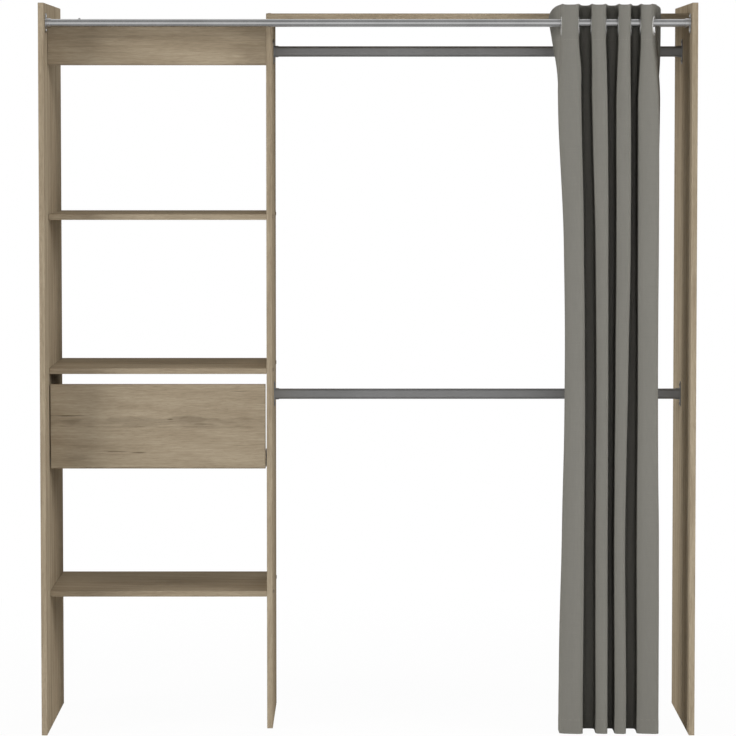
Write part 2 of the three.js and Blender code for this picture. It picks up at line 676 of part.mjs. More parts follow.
// The folded cloth as one closed sheet of even thickness, before the eyelet holes are cut.
function folded_cloth() {
  const upper = upper_level_shares.map(
    (share) => header_bottom_z + (curtain_waist_height - header_bottom_z) * share);
  const lower = lower_level_shares.map(
    (share) => curtain_waist_height + (curtain_floor_gap - curtain_waist_height) * share);
  const levels = [curtain_top_z, ...upper, ...lower];
  const corners = [];
  let width = 0;
  levels.forEach((level, row) => {
    const line = fold_line(level);
    width = line.length;
    for (const side of [-1, 1]) {
      line.forEach(([x, y, nx, ny], step) => {
        const half = (side * cloth_thickness) / 2;
        const droop = row === 0 ? corner_droop(step, width - 1) : 0;
        corners.push(x + nx * half, curtain_rod_y + y + ny * half, level - droop);
      });
    }
  });
  const index = [];
  const at = (row, side, step) => (row * 2 + side) * width + step;
  const quad = (a, b, c, d) => index.push(a, b, c, a, c, d);
  const rows = levels.length - 1;
  for (let row = 0; row < rows; row += 1) {
    for (let step = 0; step < width - 1; step += 1) {
      quad(at(row, 0, step), at(row + 1, 0, step), at(row + 1, 0, step + 1), at(row, 0, step + 1));
      quad(at(row, 1, step), at(row, 1, step + 1), at(row + 1, 1, step + 1), at(row + 1, 1, step));
    }
    quad(at(row, 0, 0), at(row, 1, 0), at(row + 1, 1, 0), at(row + 1, 0, 0));
    quad(at(row, 0, width - 1), at(row + 1, 0, width - 1), at(row + 1, 1, width - 1), at(row, 1, width - 1));
  }
  for (let step = 0; step < width - 1; step += 1) {
    quad(at(0, 0, step), at(0, 0, step + 1), at(0, 1, step + 1), at(0, 1, step));
    quad(at(rows, 0, step), at(rows, 1, step), at(rows, 1, step + 1), at(rows, 0, step + 1));
  }
  const geometry = new THREE.BufferGeometry();
  geometry.setAttribute('position', new THREE.Float32BufferAttribute(corners, 3));
  geometry.setIndex(index);
  return facing_out(geometry);
}

// The curtain with its eyelets, each a ring that clamps the cloth between two flanges
function make_curtain() {
  const crossings = crossings_at(eyelet_z).slice(1, -1);
  const barrel_radius = eyelet_radius + eyelet_sheet;
  const holes = crossings.map((x) => round_bar('x', barrel_radius + seat_gap,
    cloth_thickness + 2 * cutter_overrun, eyelet_sides, x, curtain_rod_y, eyelet_z));
  place('curtain', cut(folded_cloth(), ...holes), grey_cloth);

  const groove_half = cloth_thickness / 2 + seat_gap;
  const half_width = groove_half + eyelet_sheet;
  const ring = [
    [-half_width, eyelet_radius],
    [-half_width, eyelet_flange_radius],
    [-groove_half, eyelet_flange_radius],
    [-groove_half, barrel_radius],
    [groove_half, barrel_radius],
    [groove_half, eyelet_flange_radius],
    [half_width, eyelet_flange_radius],
    [half_width, eyelet_radius],
    [-half_width, eyelet_radius],
  ];
  crossings.forEach((x, i) => {
    place(`eyelet_${i + 1}`, turned_on_x(ring, eyelet_sides), bright_steel, x, curtain_rod_y, eyelet_z);
  });
}

make_boards();
make_board_screws();
make_curtain_rod();
make_hanging_rods();
make_drawer();
make_runners();
make_curtain();

export default wardrobe;
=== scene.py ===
"""Dresses an open wardrobe: oak boards, steel rods, a drawer on rollers and a gathered curtain.

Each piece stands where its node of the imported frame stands, and rides with that node's body.
Metres. X runs to the right, Y away from the viewer, Z up.
"""

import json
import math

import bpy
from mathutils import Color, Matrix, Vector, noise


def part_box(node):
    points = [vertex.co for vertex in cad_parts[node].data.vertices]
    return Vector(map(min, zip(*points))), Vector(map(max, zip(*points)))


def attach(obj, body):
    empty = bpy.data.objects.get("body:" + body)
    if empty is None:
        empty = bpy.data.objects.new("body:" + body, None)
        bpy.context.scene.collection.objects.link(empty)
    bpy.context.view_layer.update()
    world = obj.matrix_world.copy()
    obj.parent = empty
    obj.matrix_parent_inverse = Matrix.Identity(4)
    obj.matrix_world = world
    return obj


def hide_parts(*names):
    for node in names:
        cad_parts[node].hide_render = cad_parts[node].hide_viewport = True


bl_info = {
    "name": "Open wardrobe",
    "version": (1, 0, 0),
    "blender": (4, 5, 0),
    "location": "3D View > Sidebar > Wardrobe",
    "description": "Models the boards, rods, drawer and curtain of an open wardrobe",
    "category": "Object",
}

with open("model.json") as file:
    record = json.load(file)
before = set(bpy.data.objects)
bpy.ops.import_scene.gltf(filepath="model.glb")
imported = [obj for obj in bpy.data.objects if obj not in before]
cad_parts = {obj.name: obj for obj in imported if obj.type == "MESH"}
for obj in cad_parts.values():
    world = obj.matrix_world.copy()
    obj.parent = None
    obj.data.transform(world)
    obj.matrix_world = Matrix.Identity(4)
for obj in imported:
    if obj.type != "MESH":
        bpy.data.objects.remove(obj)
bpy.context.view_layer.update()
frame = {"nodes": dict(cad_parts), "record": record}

record = frame["record"]
slot_of_node = {row["node"]: row["material_slot"] for row in record["subparts"]}
body_of_node = {node: body for body, nodes in record["behaviour"]["bodies"].items() for node in nodes}


def amount(label, description, default, **settings):
    """A value that a user may change."""
    return bpy.props.FloatProperty(name=label, description=description, default=default, **settings)


def length(label, description, default):
    """A size that a user may change."""
    return amount(label, description, default, min=0, precision=4, unit="LENGTH")


def watts(label, description, default):
    """A lamp's power that a user may change."""
    return amount(label, description, default, min=0, unit="POWER")


def colour(label, description, *steps):
    """A colour that a user may change, whose default is given in steps of 0 to 255."""
    last_step = 255
    default = Color([step / last_step for step in steps]).from_srgb_to_scene_linear()
    return bpy.props.FloatVectorProperty(
        name=label, description=description, default=tuple(default), min=0, max=1, subtype="COLOR"
    )


def count(label, description, default):
    """A number of steps that a user may change."""
    return bpy.props.IntProperty(name=label, description=description, default=default, min=1)


class BoardSettings(bpy.types.PropertyGroup):
    """Edges and tones of the boards"""

    edge_radius: length("Edge radius", "Rounding of the edging strips", 0.0009)
    groove_depth: length("Groove depth", "Depth of the groove that holds the drawer's bottom", 0.006)
    groove_play: length("Groove play", "Room above and below the drawer's bottom", 0.0003)
    oak_light: colour("Light oak", "Lightest tone of the oak grain", 182, 168, 145)
    oak_dark: colour("Dark oak", "Darkest tone of the oak grain", 134, 119, 98)
    drawer_light: colour("Light drawer board", "Lightest tone of the drawer box", 182, 169, 148)
    drawer_dark: colour("Dark drawer board", "Darkest tone of the drawer box", 142, 128, 108)
    hardboard: colour("Hardboard", "Tone of the drawer's bottom", 141, 121, 94)
    cap: colour("Screw cap", "Tone of the cover caps", 136, 123, 103)


class HardwareSettings(bpy.types.PropertyGroup):
    """Sizes and tones of the rods, flanges, supports and runners"""

    tube_wall: length("Tube wall", "Wall of the round and the oval rods", 0.0012)
    plate: length("Plate", "Thickness of the flange and support plates", 0.002)
    cup_wall: length("Cup wall", "Wall of the flanges' cups that hold the round rod", 0.0018)
    socket_wall: length("Socket wall", "Wall of the sockets that hold the oval rods", 0.0012)
    sheet: length("Rail sheet", "Thickness of the runners' sheet steel", 0.0012)
    edge_radius: length("Edge radius", "Rounding of the metal edges", 0.0004)
    screw_head: length("Screw head", "Diameter of the small screws' heads", 0.007)
    head_height: length("Head height", "Height of the small screws' heads", 0.002)
    satin: colour("Satin steel", "Tone of the round rod", 198, 198, 198)
    dull: colour("Dull steel", "Tone of the oval rods and their supports", 140, 140, 140)
    bright: colour("Bright steel", "Tone of the eyelets", 226, 226, 223)
    zinc: colour("Zinc", "Tone of the runners", 150, 147, 140)
    nylon: colour("Nylon", "Tone of the rollers", 222, 219, 210)


class CurtainSettings(bpy.types.PropertyGroup):
    """Cloth of the curtain"""

    cloth: length("Cloth", "Thickness of a single layer of cloth", 0.0009)
    hem_cloth: length("Hem", "Thickness of the doubled cloth at a hem", 0.0019)
    bottom_hem: length("Bottom hem", "Height of the bottom hem", 0.04)
    side_hem: length("Side hem", "Width of each side hem", 0.022)
    header: length("Header", "Height of the stiffened header", 0.098)
    bend_depth: length("Bend depth", "How far a fold's bend stands past its walls", 0.0185)
    front_tilt: amount(
        "Front tilt", "Slope of the folds' fronts, which stand further out at the right", 0.2, min=0
    )
    left_droop: length("Left droop", "How far the left top corner droops", 0.045)
    left_reach: length("Left reach", "How far the left droop reaches in from the edge", 0.034)
    right_droop: length("Right droop", "How far the right top corner droops", 0.011)
    right_reach: length("Right reach", "How far the right droop reaches in from the edge", 0.017)
    crest: length("Crest", "Rise of the top edge where a fold turns", 0.0025)
    thread_pitch: length("Thread pitch", "Distance between two threads", 0.0009)
    wall_steps: count("Wall steps", "Columns on each fold's wall", 11)
    bend_steps: count("Bend steps", "Columns on each fold's bend", 14)
    header_rows: count("Header rows", "Rows in the header", 20)
    drop_rows: count("Drop rows", "Rows from the header to the hem", 112)
    tone: colour("Cloth tone", "Tone of the cloth", 132, 130, 123)


class StageSettings(bpy.types.PropertyGroup):
    """Camera, lamps, floor and background"""

    camera_place: bpy.props.FloatVectorProperty(
        name="Camera place", description="Where the camera stands", default=(-0.015, -10.988, 1.730),
        subtype="TRANSLATION", unit="LENGTH",
    )
    camera_pitch: amount(
        "Camera pitch", "How far the camera looks down", math.radians(3.725), subtype="ANGLE"
    )
    camera_yaw: amount(
        "Camera yaw", "How far the camera turns to the right", math.radians(0.079), subtype="ANGLE"
    )
    lens: amount("Lens", "Focal length of the camera in millimetres", 187.7, unit="CAMERA")
    left_lamp: watts("Left lamp", "Power of the large lamp at the front left", 520.0)
    right_lamp: watts("Right lamp", "Power of the large lamp at the front right", 475.0)
    front_lamp: watts("Front lamp", "Power of the weak lamp behind the camera", 115.0)
    back_lamp: watts("Back lamp", "Power of the large lamp behind the wardrobe", 430.0)
    room_light: amount("Room light", "Strength of the light from all around", 0.22, min=0)


# The way that the grain of each board runs
board_grains = {
    "side_panel_left": "z", "side_panel_right": "z", "partition": "z", "top_board": "x", "fascia": "x",
    "upper_shelf": "x", "middle_shelf": "x", "lower_shelf": "x", "drawer_front": "x",
}
# Turns that lay the grain's direction along an axis
grain_turns = {"x": (0, 0, 0), "y": (0, 0, -math.pi / 2), "z": (0, math.pi / 2, 0)}
# The way into a bay from its left and from its right end, as a sign in X
inward_ways = {"left": 1, "right": -1}
# Gap between two seated pieces, radius of the rollers' axles, and a span that counts as none
seat_gap, axle_radius, hair = 0.0003, 0.0025, 0.00001
white = (1.0, 1.0, 1.0, 1.0)


# Places, and selecting, adding and finishing meshes


def turn_along(way=1):
    """The turn that lays a model's own Z along X, to the right or, for a way of -1, to the left."""
    return (0, way * math.pi / 2, 0)


def face_x(node, way):
    """Where a node's box ends in X: at its right for a way of 1, at its left for -1."""
    low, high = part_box(node)
    return high.x if way > 0 else low.x


def middle_of(node):
    """The middle of a node's box."""
    low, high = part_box(node)
    return (low + high) / 2


def radius_of(node):
    """Half the height of a round node."""
    low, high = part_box(node)
    return (high.z - low.z) / 2


def select_only(*pieces):
    """Deselects everything else and makes the first piece the active one."""
    bpy.ops.object.select_all(action="DESELECT")
    for piece in pieces:
        piece.select_set(True)
    if pieces:
        bpy.context.view_layer.objects.active = pieces[0]


def named(name):
    """The object that was just added, under its own name and with its transform in its mesh."""
    piece = bpy.context.object
    piece.name = name
    piece.data.name = name
    select_only(piece)
    bpy.ops.object.transform_apply(location=True, rotation=True, scale=True)
    return piece


def add_block(name, low, high):
    """A block between two corners, which may be swapped in any axis."""
    select_only()
    low, high = (Vector(corner) for corner in zip(*(sorted(ends) for ends in zip(low, high))))
    bpy.ops.mesh.primitive_cube_add(size=1, location=(low + high) / 2, scale=high - low)
    return named(name)


def add_bar(name, radius, depth, middle, turn=(0, 0, 0), sides=64, ends="NGON"):
    """A round bar about its own Z, turned and placed."""
    select_only()
    bpy.ops.mesh.primitive_cylinder_add(
        vertices=sides, radius=radius, depth=depth, end_fill_type=ends, location=middle, rotation=turn
    )
    return named(name)


def open_whole(piece):
    """Opens a piece in edit mode with all of it selected."""
    select_only(piece)
    bpy.ops.object.mode_set(mode="EDIT")
    bpy.ops.mesh.select_all(action="SELECT")


def pick(piece, kind, wanted):
    """Opens a piece in edit mode with only the faces or edges selected that the test picks."""
    select_only(piece)
    bpy.ops.object.mode_set(mode="EDIT")
    bpy.ops.mesh.select_mode(type=kind)
    bpy.ops.mesh.select_all(action="DESELECT")
    done_editing()
    mesh = piece.data
    for part in mesh.polygons if kind == "FACE" else mesh.edges:
        part.select = wanted(part)
    bpy.ops.object.mode_set(mode="EDIT")


def pick_faces_to(piece, direction):
    """Opens a piece in edit mode with the faces selected that look in a direction."""
    direction = Vector(direction)
    nearly_along = 0.99
    pick(piece, "FACE", lambda face: face.normal.dot(direction) > nearly_along)


def pick_edges_at(piece, passes):
    """Opens a piece in edit mode with the edges selected whose two ends pass a test."""
    vertices = piece.data.vertices
    pick(piece, "EDGE", lambda edge: all(passes(vertices[i].co) for i in edge.vertices))


def push_out(shift):
    """Extrudes the selected faces by a shift."""
    bpy.ops.mesh.extrude_region_move(TRANSFORM_OT_translate={"value": tuple(shift)})


def done_editing():
    """Back to object mode."""
    bpy.ops.object.mode_set(mode="OBJECT")


def step_along_x(*steps):
    """Insets the selected faces by each width, pushes them along X by its shift, and ends editing."""
    for width, shift in steps:
        bpy.ops.mesh.inset(thickness=width)
        push_out((shift, 0, 0))
    done_editing()


def round_off(offset, segments):
    """Rounds the selected edges and ends editing."""
    bpy.ops.mesh.bevel(offset=offset, segments=segments, affect="EDGES")
    done_editing()


def apply_modifier(piece, kind, **settings):
    """Adds a modifier to a piece and applies it."""
    select_only(piece)
    modifier = piece.modifiers.new(kind.lower(), kind)
    for name, value in settings.items():
        setattr(modifier, name, value)
    bpy.ops.object.modifier_apply(modifier=modifier.name)


def soften(piece, radius, segments=2):
    """Rounds the sharp edges, and shades the bends smooth while the flat faces stay flat."""
    sharp = math.radians(30)
    apply_modifier(
        piece, "BEVEL", width=radius, segments=segments, limit_method="ANGLE", angle_limit=sharp
    )
    bpy.ops.object.shade_smooth()
    apply_modifier(piece, "WEIGHTED_NORMAL", mode="FACE_AREA", weight=100)


def smooth(piece, angle=40):
    """Shades a round piece smooth and keeps its sharp rims."""
    select_only(piece)
    bpy.ops.object.shade_smooth_by_angle(angle=math.radians(angle))


def combine(piece, other, operation="UNION"):
    """Joins another solid to a piece, or cuts it away."""
    apply_modifier(piece, "BOOLEAN", operation=operation, object=other, solver="EXACT")
    bpy.data.objects.remove(other)


def copy_to(model, name, place, turn):
    """A copy of a model, with its own mesh, turned and put in its place."""
    select_only(model)
    bpy.ops.object.duplicate()
    piece = bpy.context.object
    piece.rotation_euler = turn
    piece.location = place
    return named(name)


def carry(piece, body, slot, *finishes):
    """Gives a piece its finishes and lets it ride with a body."""
    piece.data.materials.clear()
    for material in finishes:
        piece.data.materials.append(material)
    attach(piece, body)


def stand_for(piece, node, *finishes):
    """Gives a piece its finishes and lets it stand for a node."""
    carry(piece, body_of_node[node], slot_of_node[node], *finishes)
    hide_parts(node)
    return piece


# Materials


class Wiring:
    """Adds nodes to one tree, emptied first, and links them."""

    column_width = 180

    def __init__(self, tree):
        tree.nodes.clear()
        self.tree = tree

    def add(self, kind, inputs=None, **settings):
        """A node with its settings, and its inputs fed by values or by other nodes' outputs."""
        node = self.tree.nodes.new(kind)
        node.location = (len(self.tree.nodes) * self.column_width, 0)
        for name, value in settings.items():
            setattr(node, name, value)
        for name, value in (inputs or {}).items():
            socket = node.inputs[name]
            if isinstance(value, bpy.types.NodeSocket):
                self.tree.links.new(value, socket)
            else:
                socket.default_value = value
        return node

    def calc(self, operation, first, second=0.0):
        """One sum on two values."""
        return self.add("ShaderNodeMath", {0: first, 1: second}, operation=operation).outputs[0]

    def vectors(self, operation, first, second):
        """One sum on two vectors, axis by axis."""
        return self.add("ShaderNodeVectorMath", {0: first, 1: second}, operation=operation).outputs[0]

    def span(self, vector):
        """The length of a vector."""
        return self.add("ShaderNodeVectorMath", {0: vector}, operation="LENGTH").outputs[1]

    def parts(self, vector):
        """The three parts of a vector."""
        return self.add("ShaderNodeSeparateXYZ", {0: vector}).outputs

    def noise(self, vector, stretch, detail=2.0, roughness=0.5):
        """Cloud noise from 0 to 1, finer along an axis with a larger stretch."""
        place = self.vectors("MULTIPLY", vector, stretch)
        inputs = {"Vector": place, "Scale": 1.0, "Detail": detail, "Roughness": roughness}
        return self.add("ShaderNodeTexNoise", inputs).outputs[0]

    def ranged(self, value, low, high, to_low=0.0, to_high=1.0):
        """A value moved smoothly from one range to another and held inside it."""
        inputs = {"Value": value, 1: low, 2: high, 3: to_low, 4: to_high}
        return self.add("ShaderNodeMapRange", inputs, interpolation_type="SMOOTHSTEP").outputs[0]

    def mixed(self, factor, first, second):
        """Two colours mixed by a factor."""
        return self.add("ShaderNodeMix", {0: factor, 6: first, 7: second}, data_type="RGBA").outputs[2]

    def blended(self, factor, first, second):
        """Two shaders mixed by a factor."""
        return self.add("ShaderNodeMixShader", {0: factor, 1: first, 2: second}).outputs[0]

    def group(self, build, **inputs):
        """The outputs of a node group with these inputs, built by a function on the group's first use."""
        name = build.__name__.replace("_", " ")
        tree = bpy.data.node_groups.get(name)
        if tree is None:
            tree = bpy.data.node_groups.new(name, "ShaderNodeTree")
            new_socket = tree.interface.new_socket
            for label, value in inputs.items():
                new_socket(label, in_out="INPUT", socket_type=socket_kind(value))
            inner = Wiring(tree)
            results = build(inner, **dict(zip(inputs, inner.add("NodeGroupInput").outputs)))
            for label, value in results.items():
                new_socket(label, in_out="OUTPUT", socket_type=socket_kind(value))
            inner.add("NodeGroupOutput", results)
        return self.add("ShaderNodeGroup", inputs, node_tree=tree).outputs

    def own_place(self, turn=(0, 0, 0)):
        """Object coordinates, turned."""
        place = self.add("ShaderNodeTexCoord").outputs["Object"]
        return self.add("ShaderNodeMapping", {"Vector": place, "Rotation": turn}).outputs[0]

    def seen_directly(self):
        """1 for rays from the camera, also through clear material, and 0 for all others."""
        path = self.add("ShaderNodeLightPath").outputs
        return self.calc("MAXIMUM", path["Is Camera Ray"], path["Is Transmission Ray"])


def socket_kind(value):
    """The kind of group socket that takes a value, or what another socket puts out."""
    if isinstance(value, bpy.types.NodeSocket):
        kind = {"VALUE": "Float", "VECTOR": "Vector", "RGBA": "Color"}[value.type]
    else:
        kind = "Float" if isinstance(value, float) else {3: "Vector", 4: "Color"}[len(value)]
    return f"NodeSocket{kind}"


def opaque(tone, share=1.0):
    """A share of a colour, at most white, with full alpha, as a colour socket takes it."""
    return (*(min(part * share, 1.0) for part in tone), 1.0)


def board_grain(wiring, place, light, dark, figure, bands):
    """Printed oak grain that runs along X: broad bands, arched figure, streaks and fine pores."""
    drift, wander = wiring.noise(place, (1.2, 3.2, 3.2)), 0.012
    sideways = wiring.ranged(drift, 0.2, 0.8, -wander, wander)
    shift = wiring.add("ShaderNodeCombineXYZ", {1: sideways, 2: sideways}).outputs[0]
    bent = wiring.vectors("ADD", place, shift)
    streaks = wiring.noise(bent, (6.0, 210.0, 210.0), 4, 0.65)
    arches = wiring.add(
        "ShaderNodeTexWave",
        {"Vector": wiring.vectors("MULTIPLY", bent, (0.2, 1.0, 1.0)), "Scale": 9.0, "Distortion": 6.0,
         "Detail": 3.0, "Detail Scale": 1.2},
        wave_type="BANDS", bands_direction="DIAGONAL", wave_profile="SIN",
    ).outputs[1]
    tone = middle = 0.5
    # Each pattern, and how far it swings the tone
    for value, weight in [
        (wiring.noise(bent, (0.8, 7.5, 7.5)), 0.6),
        (wiring.noise(bent, (0.6, 42.0, 42.0), 3, 0.6), bands),
        (streaks, 0.6),
        (wiring.noise(bent, (34.0, 560.0, 560.0)), 0.5),
        (arches, wiring.calc("MULTIPLY", figure, 0.1)),
    ]:
        swing = wiring.calc("MULTIPLY", wiring.calc("SUBTRACT", value, middle), weight)
        tone = wiring.calc("ADD", swing, tone)
    pores = wiring.ranged(wiring.noise(bent, (45.0, 1100.0, 1100.0), 1), 0.61, 0.66, 0.0, 0.4)
    printed = wiring.mixed(wiring.ranged(tone, 0.0, 1.0), dark, light)
    return {
        "Color": wiring.mixed(pores, printed, dark),
        "Roughness": wiring.ranged(streaks, 0.3, 0.7, 0.52, 0.64),
        "Height": wiring.calc("SUBTRACT", wiring.calc("MULTIPLY", streaks, 0.4), pores),
    }


def grain_mark(wiring, place, centre, reach):
    """A soft-edged lens round a centre, for knots and dark veins in the grain and for strips of painted
    shade.
    """
    span = wiring.span(wiring.vectors("DIVIDE", wiring.vectors("SUBTRACT", place, centre), reach))
    ripple, uneven = wiring.noise(place, (14.0, 60.0, 60.0)), 0.35
    rim = wiring.calc("ADD", span, wiring.ranged(ripple, 0.3, 0.7, -uneven, uneven))
    return {"Mask": wiring.ranged(rim, 0.25, 1.0, 1.0, 0.0)}


def handling_marks(wiring, place, stretch, roughness, swing):
    """Faint handling marks and unevenness, as a roughness, a small height and broad clouds."""
    cloud = wiring.noise(place, (9.0, 9.0, 9.0), 4, 0.6)
    speck = wiring.noise(place, stretch, 3, 0.6)
    both = wiring.calc("MULTIPLY", wiring.calc("ADD", cloud, speck), 0.5)
    rise = wiring.calc("MULTIPLY", wiring.ranged(both, 0.3, 0.7, -1.0, 1.0), swing)
    return {"Roughness": wiring.calc("ADD", roughness, rise), "Height": speck, "Cloud": cloud}


def plain_weave(wiring, flat, pitch):
    """Plain weave on a flat cloth map in metres: crossing threads with thick and thin places."""
    turn = wiring.calc("DIVIDE", math.pi, pitch)
    warp, weft = (
        wiring.calc("SINE", wiring.calc("MULTIPLY", part, turn)) for part in wiring.parts(flat)[:2]
    )
    thick_warp, thick_weft = (
        wiring.noise(flat, stretch) for stretch in [(420.0, 26.0, 1.0), (26.0, 420.0, 1.0)]
    )
    slubs = wiring.calc("ADD", thick_warp, thick_weft)
    crossing = wiring.calc("MULTIPLY", wiring.calc("MULTIPLY", warp, weft), 0.5)
    return {"Shade": wiring.ranged(slubs, 0.5, 1.5), "Height": wiring.calc("ADD", crossing, slubs)}


def new_material(name):
    """A material without nodes, and its wiring."""
    material = bpy.data.materials.new(name)
    material.use_nodes = True
    return material, Wiring(material.node_tree)


def finish(name, build):
    """The material of that finish: a Principled shader that `build` feeds on its first use."""
    full_name = f"{name}_finish"
    material = bpy.data.materials.get(full_name)
    if material is None:
        material, wiring = new_material(full_name)
        inputs = build(wiring)
        height, distance = inputs.pop("Bump")
        relief = wiring.add("ShaderNodeBump", {"Height": height, "Distance": distance, "Strength": 1.0})
        shader = wiring.add("ShaderNodeBsdfPrincipled", {**inputs, "Normal": relief.outputs[0]})
        wiring.add("ShaderNodeOutputMaterial", {"Surface": shader.outputs[0]})
    return material


def grained(name, light, dark, turn, figure, bands, relief, marks=()):
    """Matt printed oak. Each mark over its grain has a centre, a half size and a depth."""

    def build(wiring):
        place = wiring.own_place(turn)
        look = wiring.group(
            board_grain, place=place, light=opaque(light), dark=opaque(dark), figure=figure, bands=bands
        )
        # Every mark darkens the grain towards one dark tone: knots and veins, and the strips of painted
        # shade
        tone, vein_and_shade = look["Color"], opaque(dark, 0.62)
        for centre, reach, depth in marks:
            mask = wiring.group(grain_mark, place=place, centre=centre, reach=reach)["Mask"]
            tone = wiring.mixed(wiring.calc("MULTIPLY", mask, depth), tone, vein_and_shade)
        return {
            "Base Color": tone, "Roughness": look["Roughness"], "Specular IOR Level": 0.0,
            "Bump": (look["Height"], relief),
        }

    return finish(name, build)


def oak(grain):
    """Oak decor with its grain along an axis, more banded on the upright boards."""
    boards = bpy.context.scene.wardrobe_boards
    bands = 0.95 if grain == "z" else 0.45
    return grained(
        f"oak_along_{grain}", boards.oak_light, boards.oak_dark, grain_turns[grain],
        figure=1.0, bands=bands, relief=0.0002,
    )


# Knots, veins and darker patches of the oak decor in a board's front, and strips of painted shade along its
# edges and at the fascia's right end. Each mark: its centre and its half size, as shares of the board's
# width and height, and its depth.
grain_and_shade_marks = {
    "drawer_front": [
        (0.07, 0.625, 0.12, 0.016, 1.0),
        (0.1, 0.56, 0.14, 0.04, 0.3),
        (0.5, 0.555, 1.1, 0.08, 0.35),
        (0.33, 0.495, 0.42, 0.016, 0.2),
        (0.558, 0.585, 0.02, 0.014, 1.0),
        (0.58, 0.6, 0.07, 0.03, 0.3),
        (0.64, 0.58, 0.11, 0.05, 0.3),
        (0.72, 0.53, 0.06, 0.016, 0.6),
        (0.3, 0.2, 0.06, 0.01, 0.6),
        (0.41, 0.19, 0.05, 0.012, 0.9),
        (0.88, 0.915, 0.05, 0.008, 0.5),
        (0.11, 0.13, 0.1, 0.05, 0.3),
        # painted shade: a dark strip along the drawer front's bottom edge
        (0.5, 0.0, 2.5, 0.018, 0.55),
        # painted shade: a dark strip along the drawer front's right edge, by the partition
        (1.0, 0.5, 0.007, 2.5, 0.45),
    ],
    "fascia": [
        # painted shade: the fascia darker towards its right end, by the partition
        (1.0, 0.5, 0.16, 1.3, 0.36),
        (0.3, 0.62, 0.2, 0.05, 0.25),
        # painted shade: a dark strip along the fascia's bottom edge
        (0.5, 0.0, 2.5, 0.04, 0.4),
    ],
}


def marked_oak(node):
    """Oak decor along X with the knots, veins and painted shade of one board's front."""
    boards = bpy.context.scene.wardrobe_boards
    low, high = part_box(node)
    across, up = high.x - low.x, high.z - low.z
    marks = [
        ((low.x + across * x, low.y, low.z + up * z), (across * half_width, 1.0, up * half_height), depth)
        for x, z, half_width, half_height, depth in grain_and_shade_marks[node]
    ]
    return grained(
        f"oak_{node}", boards.oak_light, boards.oak_dark, grain_turns["x"],
        figure=1.0, bands=0.2, relief=0.0002, marks=marks,
    )


def drawer_board(grain):
    """Pale decor of the drawer box, with a calmer grain."""
    boards = bpy.context.scene.wardrobe_boards
    return grained(
        f"drawer_board_along_{grain}", boards.drawer_light, boards.drawer_dark, grain_turns[grain],
        figure=0.5, bands=0.3, relief=0.0001,
    )


def clouds(wiring, marks):
    """Broad soft patches."""
    return wiring.ranged(marks["Cloud"], 0.3, 0.7)


def fibres(wiring, marks):
    """The fleck of pressed fibres."""
    return wiring.ranged(marks["Height"], 0.35, 0.65)


def crystals(wiring, marks):
    """The crystal pattern of galvanised sheet."""
    inputs = {"Vector": wiring.own_place(), "Scale": 160.0}
    cells = wiring.add("ShaderNodeTexVoronoi", inputs).outputs["Color"]
    return wiring.ranged(wiring.parts(cells)[0], 0.1, 0.9)


# Each plain finish: the settings and the name of its tone, the share of the tone in its darkest places, how
# fine its marks are in each axis, its roughness and that roughness's swing, its relief, how much of a metal
# it is, and the pattern of its tone
plain_finishes = {
    "hardboard": ("boards", "hardboard", 0.7, (260, 900, 260), 0.7, 0.08, 0.0001, 0.0, fibres),
    "cap_plastic": ("boards", "cap", 0.86, (1200, 1200, 1200), 0.5, 0.06, 0.00004, 0.0, clouds),
    "white_nylon": ("hardware", "nylon", 0.86, (1500, 1500, 1500), 0.42, 0.06, 0.00004, 0.0, clouds),
    "satin_steel": ("hardware", "satin", 0.88, (6, 900, 900), 0.26, 0.05, 0.00002, 1.0, clouds),
    "dull_steel": ("hardware", "dull", 0.88, (6, 900, 900), 0.45, 0.05, 0.00002, 0.6, clouds),
    "bright_steel": ("hardware", "bright", 0.96, (90, 90, 90), 0.22, 0.04, 0.00001, 0.5, clouds),
    "zinc_sheet": ("hardware", "zinc", 0.72, (300, 60, 300), 0.46, 0.08, 0.00003, 1.0, crystals),
}


def plain(name):
    """A plain finish with handling marks."""
    group, label, dark_share, stretch, roughness, swing, relief, metallic, pattern = plain_finishes[name]
    tone = getattr(getattr(bpy.context.scene, f"wardrobe_{group}"), label)

    def build(wiring):
        marks = wiring.group(
            handling_marks, place=wiring.own_place(), stretch=stretch, roughness=roughness, swing=swing
        )
        return {
            "Base Color": wiring.mixed(pattern(wiring, marks), opaque(tone, dark_share), opaque(tone)),
            "Metallic": metallic, "Roughness": marks["Roughness"], "Bump": (marks["Height"], relief),
        }

    return finish(name, build)


